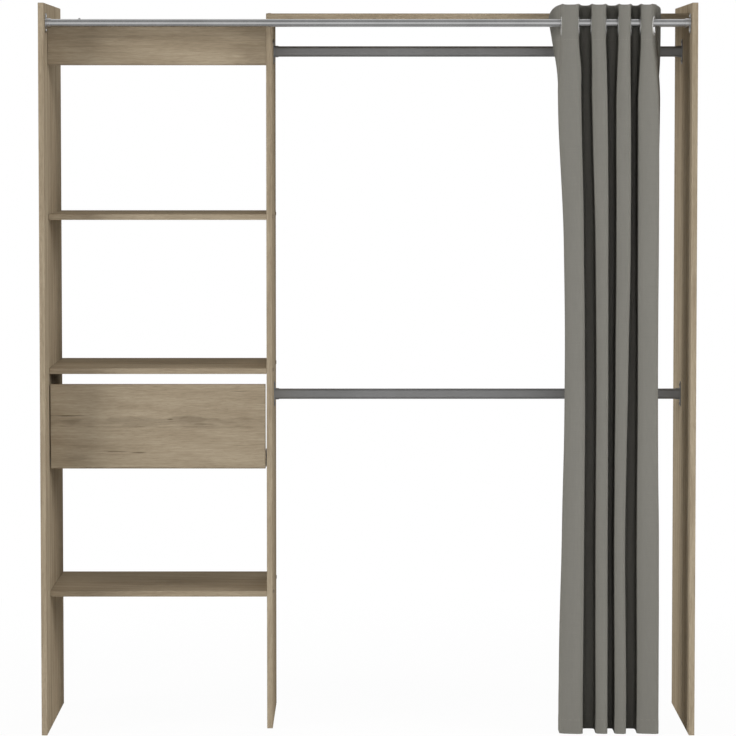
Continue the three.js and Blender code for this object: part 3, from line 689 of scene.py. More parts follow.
def grey_cloth(flat_width):
    """Plain-woven grey cloth with stitched hems, on the flat map of the cloth."""
    curtain = bpy.context.scene.wardrobe_curtain
    low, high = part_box("curtain")
    stitch_width, stitch_length = 0.0007, 0.007

    def build(wiring):
        flat = wiring.add("ShaderNodeUVMap", uv_map="cloth").outputs[0]
        weave = wiring.group(plain_weave, flat=flat, pitch=curtain.thread_pitch)
        along, down = wiring.parts(flat)[:2]
        stitched = 0.0
        # Each seam: the coordinate that is the same along it, that value, and the other coordinate
        for value, at, other in [
            (down, low.z + curtain.bottom_hem, along),
            (down, high.z - curtain.header, along),
            (along, curtain.side_hem, down),
            (along, flat_width - curtain.side_hem, down),
        ]:
            off = wiring.calc("ABSOLUTE", wiring.calc("SUBTRACT", value, at))
            beat = wiring.calc("SINE", wiring.calc("MULTIPLY", other, 2 * math.pi / stitch_length))
            line = wiring.ranged(off, 0.0, stitch_width, 1.0, 0.0)
            dashes = wiring.calc("MULTIPLY", line, wiring.ranged(beat, -0.4, 0.0))
            stitched = wiring.calc("MAXIMUM", stitched, dashes)
        # painted shade: soft vertical streaks, as of small ripples in the drape, that darken the woven tone
        # a little
        drape_shade = wiring.noise(flat, (14.0, 0.9, 1.0), 3, 0.6)
        woven = wiring.mixed(weave["Shade"], opaque(curtain.tone, 0.97), opaque(curtain.tone, 1.03))
        drape_shaded = wiring.mixed(wiring.ranged(drape_shade, 0.35, 0.65, 0.0, 0.25), woven, opaque(curtain.tone, 0.82))
        cover, sink = (wiring.calc("MULTIPLY", stitched, share) for share in (0.7, 1.2))
        return {
            "Base Color": wiring.mixed(cover, drape_shaded, opaque(curtain.tone, 1.4)),
            "Roughness": wiring.ranged(weave["Shade"], 0.0, 1.0, 0.95, 0.85), "Specular IOR Level": 0.15,
            "Bump": (wiring.calc("SUBTRACT", weave["Height"], sink), 0.00012),
        }

    return finish("grey_cloth", build)


# The stage


class WARDROBE_OT_stage(bpy.types.Operator):
    """Camera, soft lamps, white background and pale floor"""

    bl_idname = "wardrobe.stage"
    bl_label = "Stage"

    def execute(self, context):
        stage = context.scene.wardrobe_stage
        context.scene.view_settings.view_transform = "Standard"
        self.add_camera(context, stage)
        self.add_lamps(stage)
        self.add_background(context, stage)
        self.add_floor()
        return {"FINISHED"}

    def add_camera(self, context, stage):
        """The photograph's view."""
        turn = (math.pi / 2 - stage.camera_pitch, 0, -stage.camera_yaw)
        bpy.ops.object.camera_add(location=stage.camera_place, rotation=turn)
        context.scene.camera = context.object
        camera = context.object.data
        camera.sensor_width, camera.lens, camera.clip_end = 36, stage.lens, 100

    def add_lamps(self, stage):
        """Large soft lamps at both sides and behind, and a weak one in front for the folds."""
        target, lamp_size = Vector((0, 0, 1)), 4
        # Each lamp: its angle to the right of the camera, its rise, its distance and its power
        for angle, rise, distance, power in [
            (-58, 15, 10, stage.left_lamp), (60, 15, 10, stage.right_lamp),
            (0, 4, 12, stage.front_lamp), (180, 30, 10, stage.back_lamp),
        ]:
            angle, rise = math.radians(angle), math.radians(rise)
            level = math.cos(rise)
            way = Vector((math.sin(angle) * level, -math.cos(angle) * level, math.sin(rise)))
            turn = (-way).to_track_quat("-Z", "Y").to_euler()
            bpy.ops.object.light_add(type="AREA", location=target + way * distance, rotation=turn)
            lamp = bpy.context.object
            lamp.visible_camera = lamp.visible_glossy = False
            lamp.data.energy, lamp.data.size = power, lamp_size

    def add_background(self, context, stage):
        """White where it is seen, a weak room light on matt surfaces, and a room that metal mirrors."""
        world = bpy.data.worlds.new("white_room")
        world.use_nodes = True
        context.scene.world = world
        wiring = Wiring(world.node_tree)
        seen, light, mirrored = (
            wiring.add("ShaderNodeBackground", {"Color": white, "Strength": strength}).outputs[0]
            for strength in (1.0, stage.room_light, self.mirrored_room(wiring))
        )
        glossy = wiring.add("ShaderNodeLightPath").outputs["Is Glossy Ray"]
        both = wiring.blended(wiring.seen_directly(), wiring.blended(glossy, light, mirrored), seen)
        wiring.add("ShaderNodeOutputWorld", {"Surface": both})

    def mirrored_room(self, wiring):
        """How bright the room is in each direction: most at eye level in front, and high up behind."""
        way = wiring.parts(wiring.add("ShaderNodeTexCoord").outputs["Generated"])
        height = wiring.calc("MULTIPLY", wiring.calc("ADD", way[2], 1.0), 0.5)
        # Height of the direction from straight down to straight up, and how bright the room is there
        front = [(0.0, 0.4), (0.06, 0.3), (0.26, 0.6), (0.46, 1.15), (0.66, 0.6), (0.88, 0.3), (1.0, 0.4)]
        back = [(0.0, 0.6), (0.12, 0.6), (0.35, 0.35), (0.65, 0.35), (0.88, 1.1), (1.0, 0.6)]
        ramps = []
        for steps in (front, back):
            node = wiring.add("ShaderNodeValToRGB", {0: height})
            stops = node.color_ramp.elements
            for number, (place, level) in enumerate(steps):
                stop = stops[number] if number < len(stops) else stops.new(place)
                stop.position = place
                stop.color = (level, level, level, 1.0)
            ramps.append(node.outputs[0])
        soft_edge = 0.2
        return wiring.mixed(wiring.ranged(way[1], -soft_edge, soft_edge), *ramps)

    def add_floor(self):
        """A pale floor that keeps the object's shadow near it and fades to white far away."""
        select_only()
        bpy.ops.mesh.primitive_plane_add(size=80)
        floor = named("floor")
        floor.visible_glossy = False
        material, wiring = new_material("floor")
        far = wiring.span(wiring.add("ShaderNodeTexCoord").outputs["Object"])
        shadow_reach, white_from, white_near = 1.0, 3.0, 0.965
        fade = wiring.ranged(far, shadow_reach, white_from, white_near, 1.0)
        share = wiring.calc("MULTIPLY", wiring.seen_directly(), fade)
        matt = wiring.add("ShaderNodeBsdfDiffuse", {"Color": opaque(white[:3], 0.9)}).outputs[0]
        glow = wiring.add("ShaderNodeEmission", {"Color": white, "Strength": 1.0}).outputs[0]
        wiring.add("ShaderNodeOutputMaterial", {"Surface": wiring.blended(share, matt, glow)})
        floor.data.materials.append(material)


# The boards and their screws


class WARDROBE_OT_boards(bpy.types.Operator):
    """Side panels, partition, top board, fascia, shelves and drawer front, with edging strips"""

    bl_idname = "wardrobe.boards"
    bl_label = "Boards"

    def execute(self, context):
        square_on = 0.9
        for node, grain in board_grains.items():
            board = add_block(f"oak_{node}", *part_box(node))
            soften(board, context.scene.wardrobe_boards.edge_radius)
            stand_for(board, node, marked_oak(node) if node in grain_and_shade_marks else oak(grain), oak("y"))
            axis = "xyz".index(grain)
            for face in board.data.polygons:
                if abs(face.normal[axis]) > square_on:
                    face.material_index = 1
        return {"FINISHED"}


class WARDROBE_OT_board_screws(bpy.types.Operator):
    """Board screws with domed cover caps"""

    bl_idname = "wardrobe.board_screws"
    bl_label = "Board screws"

    def execute(self, context):
        low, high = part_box("fascia_screw_left")
        cap_radius, cap_height, shank_radius, tip = (high.z - low.z) / 2, 0.0024, 0.0032, 0.004
        shank, round_share = high.x - low.x - cap_height - tip, 0.8
        model = add_bar("screw_model", cap_radius, cap_height, (0, 0, -cap_height / 2), sides=40)
        pick_faces_to(model, (0, 0, -1))
        bpy.ops.mesh.inset(thickness=cap_radius - shank_radius)
        push_out((0, 0, -shank))
        bpy.ops.mesh.inset(thickness=shank_radius * round_share, depth=tip)
        done_editing()
        pick_edges_at(model, lambda place: place.z > -hair)
        round_off(cap_height * round_share, segments=6)
        smooth(model)
        for node in sorted(name for name in frame["nodes"] if "_screw_" in name):
            place = middle_of(node)
            if node.startswith("top_board_screw_left"):
                place.z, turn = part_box(node)[1].z, (0, 0, 0)
            else:
                way = -1 if "_left" in node else 1
                place.x, turn = face_x(node, way), turn_along(way)
            stand_for(copy_to(model, f"capped_{node}", place, turn), node, plain("cap_plastic"))
        bpy.data.objects.remove(model)
        return {"FINISHED"}


# Rods and what holds them


def plate_places(node, wall, way):
    """X of a holder's plate at its wall and at its outside, and X of the holder's mouth."""
    face = face_x(wall, way) + way * seat_gap
    return face, face + way * bpy.context.scene.wardrobe_hardware.plate, face_x(node, way)


def add_screws(name, x, way, middle, reach, screw_finish):
    """Two pan-head screws with a cross recess on an upright plate, below and above its middle."""
    hardware = bpy.context.scene.wardrobe_hardware
    radius, height = hardware.screw_head / 2, hardware.head_height
    head = add_bar("small_screw_model", radius, height, (0, 0, height / 2), sides=32)
    pick_edges_at(head, lambda place: place.z > height / 2)
    round_off(height * 0.6, segments=4)
    slot_length, slot_width, slot_depth = radius * 0.55, radius * 0.11, height * 0.55
    for half_x, half_y in [(slot_length, slot_width), (slot_width, slot_length)]:
        cutter = add_block("recess", (-half_x, -half_y, height - slot_depth), (half_x, half_y, height * 2))
        combine(head, cutter, "DIFFERENCE")
    smooth(head, angle=35)
    for number, z in enumerate((middle.z - reach, middle.z + reach), start=1):
        piece = copy_to(head, f"{name}_screw_{number}", (x, middle.y, z), turn_along(way))
        carry(piece, "carcass", "satin_steel", screw_finish)
    bpy.data.objects.remove(head)


class WARDROBE_OT_curtain_rod(bpy.types.Operator):
    """Round curtain rod with its stop button"""

    bl_idname = "wardrobe.curtain_rod"
    bl_label = "Curtain rod"

    def execute(self, context):
        node = "curtain_rod"
        low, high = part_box(node)
        rod = add_bar(
            f"steel_{node}", radius_of(node), high.x - low.x, middle_of(node), turn_along(),
            sides=96, ends="NOTHING",
        )
        apply_modifier(rod, "SOLIDIFY", thickness=context.scene.wardrobe_hardware.tube_wall, offset=-1)
        smooth(rod)
        stand_for(rod, node, plain("satin_steel"))

        node = "curtain_rod_stop_button"
        low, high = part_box(node)
        radius, dome_share = (high.x - low.x) / 2, 0.7
        button = add_bar("steel_stop_button", radius, high.z - low.z, middle_of(node), sides=40)
        pick_edges_at(button, lambda place: place.z > high.z - hair)
        round_off(radius * dome_share, segments=8)
        smooth(button)
        stand_for(button, node, plain("satin_steel"))
        return {"FINISHED"}


class WARDROBE_OT_rod_flanges(bpy.types.Operator):
    """Round flanges that hold the curtain rod's ends"""

    bl_idname = "wardrobe.rod_flanges"
    bl_label = "Rod flanges"

    def execute(self, context):
        hardware = context.scene.wardrobe_hardware
        screw_reach, bore = 0.0195, radius_of("curtain_rod") + seat_gap
        cup = bore + hardware.cup_wall
        for side, way in inward_ways.items():
            node = f"curtain_rod_flange_{side}"
            face, plate_out, mouth = plate_places(node, f"side_panel_{side}", way)
            radius, middle = radius_of(node), middle_of(node)
            middle.x = (face + plate_out) / 2
            flange = add_bar(f"steel_{node}", radius, hardware.plate, middle, turn_along(), sides=96)
            pick_faces_to(flange, (way, 0, 0))
            step_along_x((radius - cup, mouth - plate_out), (cup - bore, plate_out - mouth))
            soften(flange, hardware.edge_radius, segments=3)
            stand_for(flange, node, plain("satin_steel"))
            add_screws(f"flange_{side}", plate_out, way, middle, screw_reach, plain("bright_steel"))
        return {"FINISHED"}


def add_oval(name, low, high):
    """A bar along X with an upright oval section: its narrow sides are half circles."""
    piece = add_block(name, low, high)
    nearly_half, nearly_all = 0.498, 0.99
    vertices = piece.data.vertices

    def runs_along_x(edge):
        first, second = (vertices[i].co for i in edge.vertices)
        return abs(first.x - second.x) > (first - second).length * nearly_all

    pick(piece, "EDGE", runs_along_x)
    round_off((high[1] - low[1]) * nearly_half, segments=16)
    return piece


class WARDROBE_OT_hanging_rods(bpy.types.Operator):
    """Oval hanging rods, drawn as tubes"""

    bl_idname = "wardrobe.hanging_rods"
    bl_label = "Hanging rods"

    def execute(self, context):
        wall, hollow_share = context.scene.wardrobe_hardware.tube_wall, 0.02
        for node in ("upper_hanging_rod", "lower_hanging_rod"):
            low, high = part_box(node)
            rod = add_oval(f"steel_{node}", low, high)
            for way in (-1, 1):
                pick_faces_to(rod, (way, 0, 0))
                step_along_x((wall, -way * (high.x - low.x) * hollow_share))
            smooth(rod, angle=30)
            stand_for(rod, node, plain("dull_steel"))
        return {"FINISHED"}


class WARDROBE_OT_rod_supports(bpy.types.Operator):
    """Oval plates with sockets that hold the hanging rods' ends"""

    bl_idname = "wardrobe.rod_supports"
    bl_label = "Rod supports"

    def execute(self, context):
        hardware = context.scene.wardrobe_hardware
        screw_reach, grow = 0.027, seat_gap + hardware.socket_wall
        for level in ("upper", "lower"):
            rod_low, rod_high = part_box(f"{level}_hanging_rod")
            for side, wall in [("left", "partition"), ("right", "side_panel_right")]:
                node, way = f"{level}_rod_support_{side}", inward_ways[side]
                low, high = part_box(node)
                face, plate_out, mouth = plate_places(node, wall, way)
                inner = plate_out - way * hardware.plate / 2
                plate = add_oval(f"steel_{node}", (face, low.y, low.z), (plate_out, high.y, high.z))
                combine(plate, add_oval(
                    "socket", (inner, rod_low.y - grow, rod_low.z - grow),
                    (mouth, rod_high.y + grow, rod_high.z + grow),
                ))
                pick(plate, "FACE", lambda part: abs(part.center.x - mouth) < hair)
                step_along_x((hardware.socket_wall, plate_out - mouth))
                soften(plate, hardware.edge_radius, segments=3)
                stand_for(plate, node, plain("dull_steel"))
                name, middle = f"{level}_support_{side}", middle_of(node)
                add_screws(name, plate_out, way, middle, screw_reach, plain("dull_steel"))
        return {"FINISHED"}


# The drawer and its runners


class WARDROBE_OT_drawer_box(bpy.types.Operator):
    """Drawer sides and back, grooved for a thin bottom"""

    bl_idname = "wardrobe.drawer_box"
    bl_label = "Drawer box"

    def execute(self, context):
        boards = context.scene.wardrobe_boards
        low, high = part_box("drawer_bottom")
        groove_low, groove_high = low.z - boards.groove_play, high.z + boards.groove_play
        square_on = 0.9
        for node, grain, inward in [
            ("drawer_side_left", "y", Vector((1, 0, 0))),
            ("drawer_side_right", "y", Vector((-1, 0, 0))),
            ("drawer_back", "x", Vector((0, -1, 0))),
        ]:
            piece = add_block(f"pale_{node}", *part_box(node))
            for z in (groove_low, groove_high):
                open_whole(piece)
                bpy.ops.mesh.bisect(plane_co=(0, 0, z), plane_no=(0, 0, 1))
                done_editing()
            pick(piece, "FACE", lambda face: (
                face.normal.dot(inward) > square_on and groove_low < face.center.z < groove_high
            ))
            push_out(-inward * boards.groove_depth)
            done_editing()
            soften(piece, boards.edge_radius / 2)
            stand_for(piece, node, drawer_board(grain))
        bottom = add_block("hardboard_drawer_bottom", low, high)
        soften(bottom, boards.edge_radius / 3)
        stand_for(bottom, "drawer_bottom", plain("hardboard"))
        return {"FINISHED"}


def fold_sheet(name, corners, front, back, sheet):
    """Folded sheet: a strip through each corner in X and Z, running from front to back."""
    (first_x, first_z), (at_x, at_z) = corners[:2]
    select_only()
    bpy.ops.mesh.primitive_plane_add(
        size=1, location=((first_x + at_x) / 2, (front + back) / 2, (first_z + at_z) / 2),
        rotation=turn_along(),
    )
    bpy.context.object.scale = (abs(at_z - first_z), back - front, 1)
    piece = named(name)
    for x, z in corners[2:]:
        pick_edges_at(piece, lambda place: abs(place.x - at_x) < hair and abs(place.z - at_z) < hair)
        bpy.ops.mesh.extrude_edges_move(TRANSFORM_OT_translate={"value": (x - at_x, 0, z - at_z)})
        done_editing()
        at_x, at_z = x, z
    open_whole(piece)
    bpy.ops.mesh.normals_make_consistent(inside=False)
    done_editing()
    apply_modifier(piece, "SOLIDIFY", thickness=sheet, offset=0, use_even_offset=True)
    return piece


def add_axle(rail, roller, start, way):
    """A roller's axle on a rail's web, with a head past the roller."""
    head_radius, head_thickness = 0.00375, 0.0008
    middle = middle_of(roller)
    head = face_x(roller, way) + way * seat_gap
    end = head + way * head_thickness
    for radius, first, last in [(axle_radius, start, head), (head_radius, head, end)]:
        middle.x = (first + last) / 2
        combine(rail, add_bar("axle", radius, abs(last - first), middle, turn_along(), sides=32))


class WARDROBE_OT_runners(bpy.types.Operator):
    """Cabinet rails and drawer rails of folded sheet, each with its roller's axle"""

    bl_idname = "wardrobe.runners"
    bl_label = "Runners"

    def execute(self, context):
        sheet, edge_lip, round_share = context.scene.wardrobe_hardware.sheet, 0.0025, 0.25
        half = sheet / 2
        for side, way in inward_ways.items():
            panel = "side_panel_left" if side == "left" else "partition"
            for kind, reach, seat in [("cabinet", way, panel), ("drawer", -way, f"drawer_side_{side}")]:
                node = f"{kind}_runner_{side}"
                low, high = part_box(node)
                bottom, top = low.z + half, high.z - half
                web = face_x(seat, reach) + reach * (seat_gap + half)
                inner, outer = face_x(node, way) - way * half, face_x(node, -way) + way * half
                if kind == "cabinet":
                    lip = bottom + edge_lip + half
                    corners = [(web, top), (web, bottom), (inner, bottom), (inner, lip)]
                    strip_corners = [(web, top - sheet), (web, top), (inner, top)]
                else:
                    corners = [(web, bottom), (web, top), (outer, top)]
                    strip_corners = [(web, bottom + sheet), (web, bottom), (inner, bottom)]
                rail = fold_sheet(f"zinc_{node}", corners, low.y, high.y, sheet)
                combine(rail, fold_sheet("strip", strip_corners, low.y, high.y, sheet))
                add_axle(rail, f"{kind}_roller_{side}", web, reach)
                soften(rail, sheet * round_share)
                stand_for(rail, node, plain("zinc_sheet"))
        return {"FINISHED"}


class WARDROBE_OT_rollers(bpy.types.Operator):
    """Nylon rollers with a hub and a recessed web"""

    bl_idname = "wardrobe.rollers"
    bl_label = "Rollers"

    def execute(self, context):
        bore = axle_radius + seat_gap
        for node in (f"{kind}_roller_{side}" for kind in ("cabinet", "drawer") for side in inward_ways):
            low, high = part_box(node)
            radius, width, middle = radius_of(node), high.x - low.x, middle_of(node)
            rim, hub, recess, flank, rounding = radius * 0.22, radius * 0.2, width * 0.16, 0.15, 0.06
            roller = add_bar(f"nylon_{node}", radius, width, middle, turn_along())
            for way in (-1, 1):
                pick_faces_to(roller, (way, 0, 0))
                for thickness, depth in [
                    (rim, 0), (rim * flank, -recess),
                    (radius - rim * (1 + flank) - bore - hub, 0), (rim * flank, recess),
                ]:
                    bpy.ops.mesh.inset(thickness=thickness, depth=depth)
                done_editing()
            combine(roller, add_bar("bore", bore, width * 2, middle, turn_along(), sides=48), "DIFFERENCE")
            soften(roller, width * rounding, segments=3)
            stand_for(roller, node, plain("white_nylon"))
        return {"FINISHED"}


# The curtain

# How far each eyelet's wall leans: its back stands further right than its front
wall_leans = [math.radians(degrees) for degrees in (0, 8, 0, 8, 0, 8, 0, 15)]
# Where the cloth's left edge, its eight fold walls and its right edge stand below the header, as
# shares of the gathered width, at heights given as shares of the curtain's height
wall_levels = [
    (0.912, (0.078, 0.103, 0.29, 0.381, 0.516, 0.603, 0.726, 0.799, 0.96, 0.992)),
    (0.87, (0.112, 0.09, 0.29, 0.383, 0.521, 0.595, 0.726, 0.786, 0.98, 0.954)),
    (0.679, (0.195, 0.144, 0.309, 0.416, 0.525, 0.6, 0.723, 0.79, 0.973, 0.916)),
    (0.466, (0.214, 0.157, 0.324, 0.429, 0.53, 0.597, 0.704, 0.796, 0.97, 0.904)),
    (0.266, (0.195, 0.134, 0.321, 0.426, 0.53, 0.59, 0.685, 0.793, 0.986, 0.922)),
    (0.063, (0.176, 0.111, 0.315, 0.432, 0.533, 0.6, 0.698, 0.799, 0.989, 0.926)),
    (0.0, (0.172, 0.109, 0.315, 0.432, 0.533, 0.6, 0.698, 0.799, 0.989, 0.926)),
]
# How far the cloth stays flat round an eyelet
flat_margin = 0.001


def held(value, least=0, most=1):
    """A value held between two others."""
    return min(max(value, least), most)


def eyelet_centres():
    """The middle of each eyelet, from left to right."""
    return [middle_of(f"eyelet_{number}") for number in range(1, len(wall_leans) + 1)]


def header_bottom():
    """Height at which the folds start to wander from the eyelets."""
    return eyelet_centres()[0].z - radius_of("eyelet_1") - flat_margin


def through(before, start, end, after, share):
    """A value between start and end on the smooth curve through all four."""
    bend = 2 * before - 5 * start + 4 * end - after
    twist = 3 * start - before - 3 * end + after
    return start + (end - before + (bend + twist * share) * share) * share / 2


def wall_places(z):
    """Where the left edge, the eight fold walls and the right edge stand at a height."""
    low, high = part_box("curtain")
    left, width, tall = low.x, high.x - low.x, high.z - low.z
    free_edge_lean = 0.03
    at_rod = [0.0, *((centre.x - left) / width for centre in eyelet_centres()), 1.0]
    header_share = (header_bottom() - low.z) / tall
    levels = [(1.0, at_rod), (header_share, [free_edge_lean, *at_rod[1:]]), *wall_levels]
    height = held((z - low.z) / tall)
    lower = next(i for i in range(1, len(levels)) if height >= levels[i][0])
    share = (levels[lower - 1][0] - height) / (levels[lower - 1][0] - levels[lower][0])
    rows = [levels[held(lower + step, 0, len(levels) - 1)][1] for step in (-2, -1, 0, 1)]
    return [left + width * held(through(*values, share)) for values in zip(*rows)]


def fold_line(z, curtain):
    """The cloth's line at a height: a place in X and Y and a crest share for each column."""
    places, drop = wall_places(z), header_bottom() - z
    middle_y, far = eyelet_centres()[0].y, radius_of("eyelet_1") + flat_margin
    near, away = middle_y - far, middle_y + far
    # Over how much drop the bends grow square, and the leaning walls come upright
    squaring_drop, upright_drop = 0.25, 0.45
    roundest, squaring = 0.84, 0.26
    squareness = roundest - squaring * held(drop / squaring_drop)
    lean_left = held(1 - drop / upright_drop)
    shifts = [0.0, *(math.tan(lean) * far * lean_left for lean in wall_leans), 0.0]
    near_x = [place - shift for place, shift in zip(places, shifts)]
    away_x = [place + shift for place, shift in zip(places, shifts)]
    line = []

    def rounded(value):
        return math.copysign(abs(value) ** squareness, value)

    def bend(centre_x, base_y, reach_x, start, end, tilt=0.0):
        for step in range(curtain.bend_steps + 1):
            turn = start + (end - start) * step / curtain.bend_steps
            across, out = rounded(math.cos(turn)), rounded(math.sin(turn))
            y = base_y + curtain.bend_depth * out - tilt * reach_x * across * abs(out)
            line.append((centre_x + reach_x * across, y, across ** 4))

    def wall(start_x, end_x, start_y, end_y):
        for step in range(1, curtain.wall_steps):
            share = step / curtain.wall_steps
            line.append((start_x + (end_x - start_x) * share, start_y + (end_y - start_y) * share, 1.0))

    last = len(places) - 1
    bend(places[0], away, away_x[1] - places[0], math.pi / 2, 0)
    for number in range(1, last):
        if number % 2:
            wall(away_x[number], near_x[number], away, near)
            sides, base, start, tilt = near_x, near, -math.pi, curtain.front_tilt
        else:
            wall(near_x[number], away_x[number], near, away)
            sides, base, start, tilt = away_x, away, math.pi, 0.0
        if number < last - 1:
            here, there = sides[number:number + 2]
            bend((here + there) / 2, base, (there - here) / 2, start, 0, tilt)
    bend(places[last], away, places[last] - away_x[last - 1], math.pi, math.pi / 2)
    return line


def flat_columns(curtain):
    """How far from its left edge each column of the cloth stands when it is laid flat."""
    line = fold_line(eyelet_centres()[0].z, curtain)
    along = [0.0]
    for here, there in zip(line, line[1:]):
        along.append(along[-1] + math.hypot(there[0] - here[0], there[1] - here[1]))
    return along


def unevenness(place, rates, shift=0):
    """Smooth noise at a place, as quick along each axis as its rate."""
    x, y, z = (part * rate for part, rate in zip(place, rates))
    return noise.noise(Vector((x, y, z + shift)))


def cloth_places(curtain):
    """Every vertex of the cloth, row by row, with the small unevenness of a hanging cloth."""
    (low, high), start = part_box("curtain"), header_bottom()
    corners = [
        (low.x, 1, curtain.left_reach, curtain.left_droop),
        (high.x, -1, curtain.right_reach, curtain.right_droop),
    ]
    header = [high.z + (start - high.z) * i / curtain.header_rows for i in range(curtain.header_rows)]
    drop = [start + (low.z - start) * i / curtain.drop_rows for i in range(curtain.drop_rows + 1)]
    # Over how much drop the folds begin to wander, and how far and how fast the cloth wanders and ripples
    wander_drop, wander_depth, ripple_depth = 0.3, 0.003, 0.0009
    wander_rates, ripple_rates, ripple_shift = (9, 6, 1.7), (55, 40, 5), 7
    rows = []
    for z in header + drop:
        lift = max(0, (z - start) / (high.z - start))
        slack = held((start - z) / wander_drop)
        row = []
        for x, y, crest_share in fold_line(z, curtain):
            droop = 0.0
            for edge_x, way, reach, most in corners:
                edge_share = held(1 - (x - edge_x) * way / reach)
                droop += most * (1 - math.sqrt(1 - edge_share ** 2))
            crest = curtain.crest * (crest_share - 0.5)
            wander = unevenness((x, y, z), wander_rates) * wander_depth * slack
            ripple = unevenness((x, y, z), ripple_rates, ripple_shift) * ripple_depth
            row.append(Vector((x + ripple, y + wander + ripple, z + (crest - droop) * lift)))
        rows.append(row)
    return rows


def open_eyelets(rows):
    """Moves the cloth in each eyelet out to the hole's edge, and says which vertices it moved."""
    moved = set()
    hole_radius, wall_nearness = 0.0225, 0.004
    for centre, lean in zip(eyelet_centres(), wall_leans):
        back = Vector((math.sin(lean), math.cos(lean), 0))
        for r, row in enumerate(rows):
            for c, place in enumerate(row):
                off = place - centre
                within = Vector((off.dot(back), off.z))
                aside = abs(off.x * back.y - off.y * back.x)
                if aside < wall_nearness and 0 < within.length < hole_radius:
                    moved.add(r * len(row) + c)
                    shift = within.normalized() * (hole_radius - within.length)
                    place += back * shift.x + Vector((0, 0, shift.y))
    return moved


class WARDROBE_OT_curtain(bpy.types.Operator):
    """Grey curtain gathered in even folds, with hems and a header pierced for its eyelets"""

    bl_idname = "wardrobe.curtain"
    bl_label = "Curtain"

    def execute(self, context):
        curtain = context.scene.wardrobe_curtain
        rows, along = cloth_places(curtain), flat_columns(curtain)
        flat = [(column, place.z) for row in rows for column, place in zip(along, row)]
        inside = open_eyelets(rows)
        width = len(along)
        faces = []
        for r in range(len(rows) - 1):
            for first in range(r * width, r * width + width - 1):
                corners = (first, first + width, first + width + 1, first + 1)
                if not inside.issuperset(corners):
                    faces.append(corners)
        mesh = bpy.data.meshes.new("cloth_curtain")
        mesh.from_pydata([tuple(place) for row in rows for place in row], [], faces)
        layer = mesh.uv_layers.new(name="cloth")
        for loop in mesh.loops:
            layer.data[loop.index].uv = flat[loop.vertex_index]
        cloth = bpy.data.objects.new("cloth_curtain", mesh)
        context.scene.collection.objects.link(cloth)
        open_whole(cloth)
        bpy.ops.mesh.delete_loose()
        done_editing()

        low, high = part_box("curtain")
        layer = mesh.uv_layers["cloth"]
        in_hem = set()
        for loop in mesh.loops:
            u, v = layer.data[loop.index].uv
            at_side = min(u, along[-1] - u) < curtain.side_hem
            if at_side or v < low.z + curtain.bottom_hem or v > high.z - curtain.header:
                in_hem.add(loop.vertex_index)
        cloth.vertex_groups.new(name="hems").add(sorted(in_hem), 1.0, "REPLACE")
        apply_modifier(
            cloth, "SOLIDIFY", thickness=curtain.hem_cloth, offset=0, vertex_group="hems",
            thickness_vertex_group=curtain.cloth / curtain.hem_cloth,
        )
        cloth.vertex_groups.clear()
        smooth(cloth, angle=60)
        stand_for(cloth, "curtain", grey_cloth(along[-1]))
        return {"FINISHED"}


class WARDROBE_OT_eyelets(bpy.types.Operator):
    """Bright rolled rings that clamp the cloth"""

    bl_idname = "wardrobe.eyelets"
    bl_label = "Eyelets"

    def execute(self, context):
        inner, outer = 0.02, radius_of("eyelet_1")
        for number, (centre, lean) in enumerate(zip(eyelet_centres(), wall_leans), start=1):
            node = f"eyelet_{number}"
            select_only()
            bpy.ops.mesh.primitive_torus_add(
                major_radius=(outer + inner) / 2, minor_radius=(outer - inner) / 2,
                major_segments=72, minor_segments=20, location=centre, rotation=(0, math.pi / 2, -lean),
            )
            width = face_x(node, 1) - face_x(node, -1)
            context.object.scale = (1, 1, width / (outer - inner))
            ring = named(f"steel_{node}")
            smooth(ring, angle=60)
            stand_for(ring, node, plain("bright_steel"))
        flat_columns(context.scene.wardrobe_curtain)[-1]
        return {"FINISHED"}


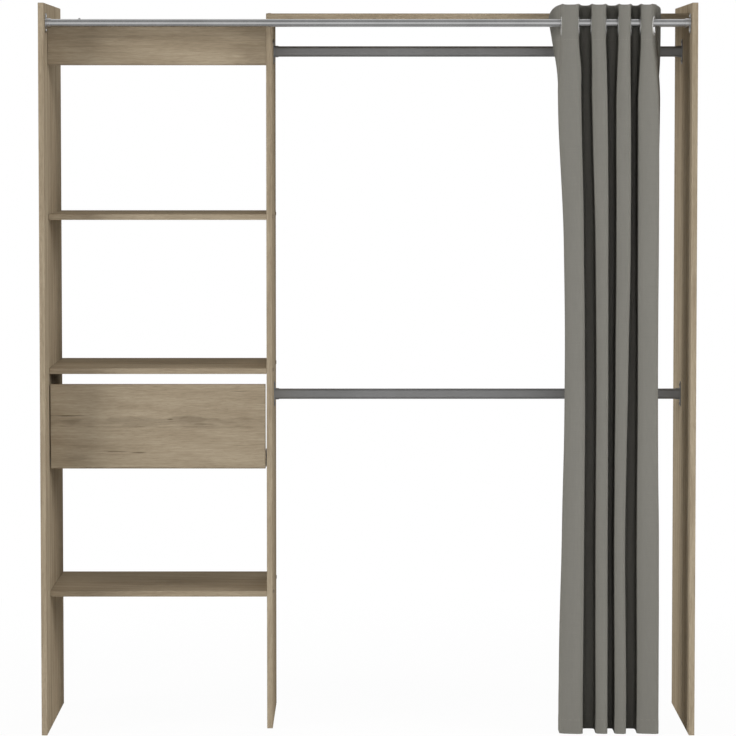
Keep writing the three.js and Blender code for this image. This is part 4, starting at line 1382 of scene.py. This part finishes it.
class WARDROBE_PT_pieces(bpy.types.Panel):
    """Lists the pieces of the wardrobe and their settings"""

    bl_idname = "WARDROBE_PT_pieces"
    bl_label = "Open wardrobe"
    bl_space_type = "VIEW_3D"
    bl_region_type = "UI"
    bl_category = "Wardrobe"

    def draw(self, context):
        for operator in operators:
            self.layout.operator(operator.bl_idname)
        for name, settings in setting_groups.items():
            box = self.layout.box()
            group = getattr(context.scene, name)
            for setting in settings.__annotations__:
                box.prop(group, setting)


operators = (
    WARDROBE_OT_stage,
    WARDROBE_OT_boards,
    WARDROBE_OT_board_screws,
    WARDROBE_OT_curtain_rod,
    WARDROBE_OT_rod_flanges,
    WARDROBE_OT_hanging_rods,
    WARDROBE_OT_rod_supports,
    WARDROBE_OT_drawer_box,
    WARDROBE_OT_runners,
    WARDROBE_OT_rollers,
    WARDROBE_OT_curtain,
    WARDROBE_OT_eyelets,
)
setting_groups = {
    "wardrobe_boards": BoardSettings,
    "wardrobe_hardware": HardwareSettings,
    "wardrobe_curtain": CurtainSettings,
    "wardrobe_stage": StageSettings,
}


def register():
    """Registers the settings, the operators and the panel."""
    for name, settings in setting_groups.items():
        bpy.utils.register_class(settings)
        setattr(bpy.types.Scene, name, bpy.props.PointerProperty(type=settings))
    for panel_or_operator in (*operators, WARDROBE_PT_pieces):
        bpy.utils.register_class(panel_or_operator)


def unregister():
    """Takes back what register() added."""
    for panel_or_operator in (WARDROBE_PT_pieces, *reversed(operators)):
        bpy.utils.unregister_class(panel_or_operator)
    for name, settings in reversed(setting_groups.items()):
        delattr(bpy.types.Scene, name)
        bpy.utils.unregister_class(settings)


def main():
    """Makes every piece in order."""
    register()
    bpy.ops.wardrobe.stage()
    bpy.ops.wardrobe.boards()
    bpy.ops.wardrobe.board_screws()
    bpy.ops.wardrobe.curtain_rod()
    bpy.ops.wardrobe.rod_flanges()
    bpy.ops.wardrobe.hanging_rods()
    bpy.ops.wardrobe.rod_supports()
    bpy.ops.wardrobe.drawer_box()
    bpy.ops.wardrobe.runners()
    bpy.ops.wardrobe.rollers()
    bpy.ops.wardrobe.curtain()
    bpy.ops.wardrobe.eyelets()


if __name__ == "__main__":
    main()
